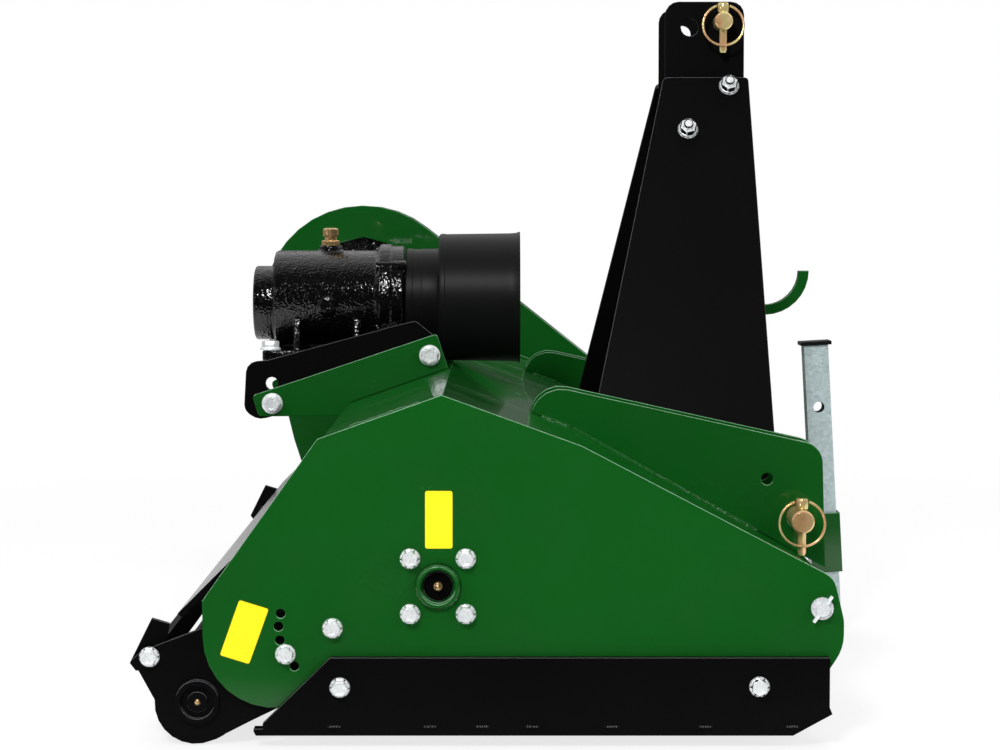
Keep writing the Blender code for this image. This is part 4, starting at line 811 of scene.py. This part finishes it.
# %% Plug
BOSS_TOP = 0.0566            # height of the boss's face over the shaft
BREATHER_BASE = [(0.0050, 0.0420), (0.0050, BOSS_TOP), (0.0096, BOSS_TOP), (0.0098, 0.0575),
                 (0.0098, 0.0612), (0.0090, 0.0620), (0.0060, 0.0622)]
BREATHER_CAP = [(0.0060, 0.0615), (0.0066, 0.0630), (0.0064, 0.0662), (0.0080, 0.0668), (0.0085, 0.0676),
                (0.0085, 0.0738), (0.0078, 0.0748), (0.0060, 0.0755), (0.0, 0.0755)]
base = lathe(BREATHER_BASE, steps=24)
hexagon(base, BOSS_TOP)
breather = turn_to(join([base, lathe(BREATHER_CAP, steps=36)]), UP, at(FILLER_X, 0, SHAFT_Z))
piece("breather_plug", breather, "brass", smooth=30, stands_for=["filler_plug"])
print("breather in its boss")


# %% [markdown]
# ## Nuts on the mast
# The head plates are bolted to the leaning legs. Each bolt comes through from
# inside, so the photograph shows a flanged nut with the bolt's rounded end. At
# this size a nut looks like a bolt head, so it is one, with a turned tip on it.

# %% Mast nuts
MAST_TOP_Y = 0.0600          # inner face of a leg, at its top
MAST_TOP_Z = 0.4670
MAST_TILT = radians(26.3)    # how far a leg leans from upright
MAST_T = 0.0080              # thickness of a leg
MAST_BOLTS = ((0.2972, 0.4576), (0.2522, 0.4109))
NUT_SIZE = (0.96, 0.96)      # a nut is drawn as a slightly smaller head
NUT_SPIN = 0.3
BOLT_TIP = [(0.0050, 0.0070), (0.0050, 0.0120), (0.0042, 0.0136), (0.0024, 0.0146), (0.0, 0.0148)]


def nut(place, direction):
    body = bolt_head((0, 0, 0), UP, NUT_SIZE, NUT_SPIN)
    return turn_to(join([body, lathe(BOLT_TIP, steps=24)]), direction, place)


for word, side in SIDES.items():
    nuts = []
    for x, z in MAST_BOLTS:
        y = MAST_TOP_Y + MAST_T * cos(MAST_TILT) + (MAST_TOP_Z - z) * tan(MAST_TILT)
        outer = at(x, side * y, z + MAST_T * sin(MAST_TILT))
        nuts.append(nut(outer, (0, side * cos(MAST_TILT), sin(MAST_TILT))))
    piece(word + "_mast_nuts", join(nuts), "zinc", smooth=35)
print(len(MAST_BOLTS), "nuts on each side of the mast")


# %% [markdown]
# ## Spring rings
# A linchpin's ring is hard spring wire whose two ends sit in the pin's head. It
# is an open circle of wire here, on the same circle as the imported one, and leans
# out to pass its hitch pin. The linchpin is turned, with a small head.

# %% Ring helpers
RING_R = 0.0215              # to the middle of the wire
RING_STEPS = 64
WIRE_R = 0.0012
HEAD_HALF = 0.0067           # from the linchpin's middle to an end of the wire
LEAN_OUT = 0.0046            # how far out the wire clears the linchpin at the ring's far side
EYE_RISE = 0.0068            # from the hitch pin's surface up to the wire's ends
print("a ring is", round(2000 * (RING_R + WIRE_R), 1), "mm across outside")


def ring_path(eye, out):
    """The wire's path round the ring, from one end in the pin's head to the other."""
    drop = sqrt(RING_R ** 2 - HEAD_HALF ** 2)
    start = atan2(drop, HEAD_HALF)
    lean = atan2(LEAN_OUT + WIRE_R, RING_R + drop)
    path = []
    for i in range(RING_STEPS + 1):
        a = start - (tau / 2 + 2 * start) * i / RING_STEPS
        down = RING_R * sin(a) - drop
        path.append(eye + Vector((RING_R * cos(a), -out * down * sin(lean), down * cos(lean))))
    return path


def linchpin(host, place):
    """A linchpin through a pin of radius host. Its place is that pin's middle."""
    outline = [(0.0, -0.0335), (0.0028, -0.0330), (0.0040, -0.0300), (0.0040, host + 0.0001),
               (0.0052, host + 0.0002), (0.0058, host + 0.0014), (0.0058, host + 0.0088),
               (0.0050, host + 0.0101), (0.0, host + 0.0103)]
    return turn_to(lathe(outline, steps=32), UP, place)


# %% [markdown]
# ## Where the rings hang
# The hitch pins and the top link pin are each locked by a linchpin. The packed
# model has a joint for every ring, midway between the ends of its wire. The
# linchpin is placed from that same joint, so pin and ring can't drift apart.

# %% Rings
HOST_R = {"left_clip": 0.0110, "belt_side_clip": 0.0110, "top_clip": 0.0095}     # of the pin it locks
for clip, host in HOST_R.items():
    eye = at(*pivot(clip + "_ring_swing"))
    ring = wire(ring_path(eye, 1 if eye.y > 0 else -1), WIRE_R)
    piece(clip + "_spring_ring", ring, "yellow_zinc", clip + "_ring_body", smooth=60,
          stands_for=[clip + "_ring"])
    pin = linchpin(host, eye - Vector((0, 0, EYE_RISE + host)))
    piece(clip + "_linchpin", pin, "yellow_zinc", stands_for=[clip + "_pin"])
print(len(HOST_R), "rings and linchpins")


# %% [markdown]
# ## Blank labels
# Two yellow stickers sit on the near plate. Vinyl is a tenth of a millimetre
# thick, so a texture would do, but a thin solid keeps a clean edge at any zoom.
# A face with four corners has them rounded by a bevel, and gets its thickness.

# %% Labels
LABEL_Y = -(HALF + 0.0002)
LABEL_T = 0.00015
LABEL_CORNER_R = 0.0018
LABELS = {"upper_blank_label": [(-0.0112, 0.0334), (0.0128, 0.0334), (0.0128, 0.0841), (-0.0112, 0.0841)],
          "rear_blank_label": [(-0.1920, -0.0609), (-0.1663, -0.0689), (-0.1488, -0.0201),
                               (-0.1746, -0.0121)]}
for name, spots in LABELS.items():
    sheet = bmesh.new()
    sheet.faces.new([sheet.verts.new(at(x, LABEL_Y, z)) for x, z in spots])
    bmesh.ops.bevel(sheet, geom=sheet.verts[:], offset=LABEL_CORNER_R, segments=4, profile=0.5,
                    affect="VERTICES", material=-1)
    bmesh.ops.solidify(sheet, geom=sheet.faces[:], thickness=LABEL_T)
    piece(name, sheet, None, look=VINYL, smooth=30)
print(len(LABELS), "blank labels")


# %% [markdown]
# ## Grease nipples
# Rotor and roller turn in greased bearings. A nipple sits at each end: a round
# base, a waist and a ball that the grease gun grips, all turned from one
# outline. Behind the rotor's nipple the end of its shaft shows dark in its
# recess, and a thin black turned disc draws that.

# %% Nipples
NIPPLE = [(0.0, -0.00115), (0.0038, -0.00115), (0.0040, 0.00023), (0.0040, 0.00345), (0.0034, 0.00414),
          (0.0020, 0.00483), (0.0019, 0.00598), (0.0025, 0.00690), (0.0026, 0.00759), (0.0021, 0.008625),
          (0.0009, 0.009085), (0.0, 0.00874)]
STUB_DARK_DISC = [(0.0, 0.0), (0.0128, 0.0), (0.0128, 0.0004), (0.0, 0.0005)]
STUB_Y = HALF - 0.0020
ROTOR_NIPPLE_Y = HALF - 0.0016
ROLLER_NIPPLE_Y = 0.5645
ROLLER = pivot("roller_spin")

for word, side in SIDES.items():
    out = (0, side, 0)
    # a thin black disc on the shaft's end, where it shows dark in its recess
    stub = turn_to(lathe(STUB_DARK_DISC, steps=32), out, at(0, side * STUB_Y, 0))
    piece(word + "_stub_dark_disc", stub, "black_paint", "rotor_body")
    nipple = turn_to(lathe(NIPPLE, steps=24), out, at(0, side * ROTOR_NIPPLE_Y, 0))
    piece(word + "_rotor_nipple", nipple, "brass", "rotor_body")
    nipple = turn_to(lathe(NIPPLE, steps=24), out, at(ROLLER.x, side * ROLLER_NIPPLE_Y, ROLLER.z))
    piece(word + "_roller_nipple", nipple, "brass", "roller_body")
print("nipples in rotor and roller")


# %% [markdown]
# ## Weld beads
# The deck, the roller hubs and the runners are welded. A bead is metal that froze
# drop by drop, so it is a row of small balls that overlap, each a little larger
# or smaller than the next and half sunk in the joint. A round bar would be
# simpler, but it has no ripples, and these tell the eye where parts were joined.

# %% Weld helper
DROP_STEP = 0.9              # from one drop to the next, in radii
DROP_SHARE = 0.92            # of the bead's radius, on average
DROP_VARIES = 0.30           # how far a drop may be from that, either way
DROP_GRAIN = per_mm(2.5)     # drops this far apart differ fully in size


def bead(points, radius):
    """A row of drops along points that are counted from the rotor's axis."""
    drops = []
    for start, end in zip(points, points[1:]):
        start, end = Vector(start), Vector(end)
        count = max(1, round((end - start).length / (radius * DROP_STEP)))
        for i in range(count + 1):
            spot = start.lerp(end, i / count)
            size = radius * (DROP_SHARE + DROP_VARIES * noise.noise(spot * DROP_GRAIN))
            drop = bmesh.new()
            bmesh.ops.create_icosphere(drop, subdivisions=2, radius=size)
            bmesh.ops.translate(drop, vec=at(*spot), verts=drop.verts)
            drops.append(drop)
    return join(drops)


print("a bead of 3 mm radius has a drop every", round(3 * DROP_STEP, 1), "mm")


# %% [markdown]
# ## Where the welds run
# One short seam joins each side plate to the rear slope of the deck. An arc runs
# round each roller hub, a long seam follows the folded deck along the foot of
# each hitch cheek, and seven tacks hold each skid's runner.

# %% Welds
DECK_SEAM = ((-0.0760, 0.1385), (-0.0180, 0.1588))
DECK_SEAM_Y = 0.5640
DECK_BEAD = 0.0034           # radius of a drop
HUB_R = 0.0200
HUB_Y = 0.5668
HUB_BEAD = 0.0020
HUB_SEAM = [(ROLLER.x + HUB_R * cos(radians(a)), ROLLER.z + HUB_R * sin(radians(a)))
            for a in range(15, 196, 15)]
CHEEK_SEAM = ((0.0960, 0.1315), (0.1230, 0.1216), (0.3000, 0.0232))
CHEEK_Y = {"outer": 0.3560, "inner": 0.3000}
CHEEK_BEAD = 0.0030
TACKS = (-0.0960, -0.0120, 0.0340, 0.0780, 0.1480, 0.2300, 0.3060)
TACK_LENGTH = 0.010
TACK_Y = 0.5830
TACK_Z = reach_of("left_skid")[0].z + 0.0072         # along the top edge of the runner
TACK_BEAD = 0.0022

for word, side in SIDES.items():
    seam = bead(on_side(side, DECK_SEAM_Y, DECK_SEAM), DECK_BEAD)
    piece(word + "_deck_weld", seam, "green_paint", look=WELD_GREEN, smooth=60)
    seam = bead(on_side(side, HUB_Y, HUB_SEAM), HUB_BEAD)
    piece(word + "_hub_weld", seam, "black_paint", "roller_frame", smooth=60)
    for cheek, y in CHEEK_Y.items():
        seam = bead(on_side(side, y, CHEEK_SEAM), CHEEK_BEAD)
        piece(word + "_" + cheek + "_cheek_weld", seam, "green_paint", look=WELD_GREEN, smooth=60)
    tacks = []
    for x in TACKS:
        tack = on_side(side, TACK_Y, ((x, TACK_Z), (x + TACK_LENGTH, TACK_Z)))
        tacks.append(bead(tack, TACK_BEAD))
    piece(word + "_runner_tacks", join(tacks), "black_paint", smooth=60)
print("welds laid, with", len(TACKS), "tacks to a runner")


# %% [markdown]
# ## Floor
# The photograph stands on pure white. So the floor glows white to the camera,
# fully from two metres out. Nearer, a fifth of it is lit paint, which takes a
# faint shadow. In reflections, a white floor before the machine would turn black
# paint grey, so there the camera's side of it is dark.

# %% Floor
FLOOR_HALF = 30
GLOW_NEAR = 0.78             # share of glow near the machine
GLOW_FROM = 0.6              # metres out, where it starts to grow
GLOW_FULL = 2.0              # and where it is whole
DARK_BEFORE = -0.95          # along Y, the floor that reflections see dark
DARK_UNTIL = -0.70
DARK_GLOW = 0.02


def white_floor():
    made, tree, shader, here = material("floor_white", "#f3f3f3", 0.9)
    ray = node(tree, "ShaderNodeLightPath")
    distance = node(tree, "ShaderNodeVectorMath", {0: here}, operation="LENGTH")
    share = node(tree, "ShaderNodeMapRange", {"Value": (distance, "Value"), "From Min": GLOW_FROM,
                                              "From Max": GLOW_FULL, "To Min": GLOW_NEAR})
    seen = node(tree, "ShaderNodeMath", {0: (ray, "Is Camera Ray"), 1: (share, "Result")},
                operation="MULTIPLY")
    glow = node(tree, "ShaderNodeEmission", {"Color": (1, 1, 1, 1), "Strength": 1.0})
    lit = node(tree, "ShaderNodeMixShader", {0: (seen, "Value"), 1: (shader, "BSDF"),
                                             2: (glow, "Emission")})
    axes = node(tree, "ShaderNodeSeparateXYZ", {"Vector": here})
    before = node(tree, "ShaderNodeMapRange", {"Value": (axes, "Y"), "From Min": DARK_BEFORE,
                                               "From Max": DARK_UNTIL, "To Min": 1.0, "To Max": 0.0})
    hidden = node(tree, "ShaderNodeMath", {0: (ray, "Is Glossy Ray"), 1: (before, "Result")},
                  operation="MULTIPLY")
    dark = node(tree, "ShaderNodeEmission", {"Color": (1, 1, 1, 1), "Strength": DARK_GLOW})
    whole = node(tree, "ShaderNodeMixShader", {0: (hidden, "Value"), 1: (lit, "Shader"),
                                               2: (dark, "Emission")})
    feed(tree, tree.nodes["Material Output"], {"Surface": (whole, "Shader")})
    return made


ground = bmesh.new()
bmesh.ops.create_grid(ground, x_segments=1, y_segments=1, size=FLOOR_HALF)
floor_mesh = bpy.data.meshes.new("floor")
ground.to_mesh(floor_mesh)
ground.free()
floor_mesh.materials.append(white_floor())
floor = bpy.data.objects.new("floor", floor_mesh)
bpy.context.scene.collection.objects.link(floor)
print("floor laid")


# %% [markdown]
# ## Room
# The camera sees white all round, and soft light reaches every face at less than
# a third of that. Reflections see a room of their own: white behind the machine
# from some twenty degrees up, and nearly black on the camera's side. That keeps
# black paint black and green paint deep, and adds a little to the bright edges,
# whose thin pale lines are painted highlights in the green and black paints.

# %% Room
ROOM_LIGHT = 0.30


def white_room():
    world = bpy.data.worlds.new("white_room")
    world.use_nodes = True
    tree = world.node_tree
    tree.nodes.clear()
    place = node(tree, "ShaderNodeTexCoord")
    axes = node(tree, "ShaderNodeSeparateXYZ", {"Vector": (place, "Generated")})
    rear = node(tree, "ShaderNodeMapRange", {"Value": (axes, "Y"), "From Min": -0.35, "From Max": 0.25,
                                             "To Min": 0.03, "To Max": 1.0})
    low = node(tree, "ShaderNodeMapRange", {"Value": (axes, "Z"), "From Min": 0.22, "From Max": 0.42,
                                            "To Min": 0.10, "To Max": 1.0})
    back = node(tree, "ShaderNodeMath", {0: (rear, "Result"), 1: (low, "Result")}, operation="MULTIPLY")
    top = node(tree, "ShaderNodeMapRange", {"Value": (axes, "Z"), "From Min": 0.75, "From Max": 0.95,
                                            "To Min": 0.0, "To Max": 0.10})
    mirrored = node(tree, "ShaderNodeMath", {0: (back, "Value"), 1: (top, "Result")}, operation="MAXIMUM")
    ray = node(tree, "ShaderNodeLightPath")
    direct = node(tree, "ShaderNodeMath", {0: (ray, "Is Camera Ray"), 1: (ray, "Is Transmission Ray")},
                  operation="MAXIMUM")
    shine = node(tree, "ShaderNodeMath", {0: (ray, "Is Glossy Ray"), 1: (mirrored, "Value")},
                 operation="MULTIPLY")
    bright = node(tree, "ShaderNodeMath", {0: (direct, "Value"), 1: (shine, "Value")}, operation="MAXIMUM")
    dull = node(tree, "ShaderNodeMath", {0: 1.0, 1: (ray, "Is Glossy Ray")}, operation="SUBTRACT")
    soft = node(tree, "ShaderNodeMath", {0: (dull, "Value"), 1: ROOM_LIGHT}, operation="MULTIPLY")
    level = node(tree, "ShaderNodeMath", {0: (bright, "Value"), 1: (soft, "Value")}, operation="MAXIMUM")
    sky = node(tree, "ShaderNodeBackground", {"Color": (1, 1, 1, 1), "Strength": (level, "Value")})
    node(tree, "ShaderNodeOutputWorld", {"Surface": (sky, "Background")})
    bpy.context.scene.world = world


white_room()
print("white room")


# %% [markdown]
# ## Lamps
# Three large soft panels light the machine from the left, the right and above.
# They would lie as white sheets on gloss paint, so reflections don't show them.
# Reflections do show a small lamp and a narrow strip, which give the casting its
# sparks and the round shapes their thin highlights.

# %% Lamps
def panel(name, place, aim, size, watts, mirrored):
    """A rectangular lamp at a place, turned to its aim."""
    light = bpy.data.lights.new(name, "AREA")
    light.shape = "RECTANGLE"
    light.size, light.size_y = size
    light.energy = watts
    lamp = bpy.data.objects.new(name, light)
    lamp.location = place
    lamp.visible_glossy = mirrored
    lamp.rotation_euler = (Vector(aim) - Vector(place)).to_track_quat("-Z", "Y").to_euler()
    bpy.context.scene.collection.objects.link(lamp)


panel("key_panel", (-1.9, -2.6, 2.3), (0, 0, 0.3), (1.8, 1.4), watts=24, mirrored=False)
panel("fill_panel", (2.4, -2.2, 1.4), (0, 0, 0.3), (1.4, 1.4), watts=34, mirrored=False)
panel("top_panel", (0.2, 0.3, 2.8), (0, 0, 0.2), (2.4, 1.6), watts=60, mirrored=False)
panel("key_lamp", (-0.6, -2.9, 2.1), (0, 0, 0.3), (0.45, 0.45), watts=60, mirrored=True)
panel("left_strip", (-2.6, -1.6, 0.9), (0, 0, 0.2), (0.14, 1.2), watts=5, mirrored=True)
print("three panels, a lamp and a strip")
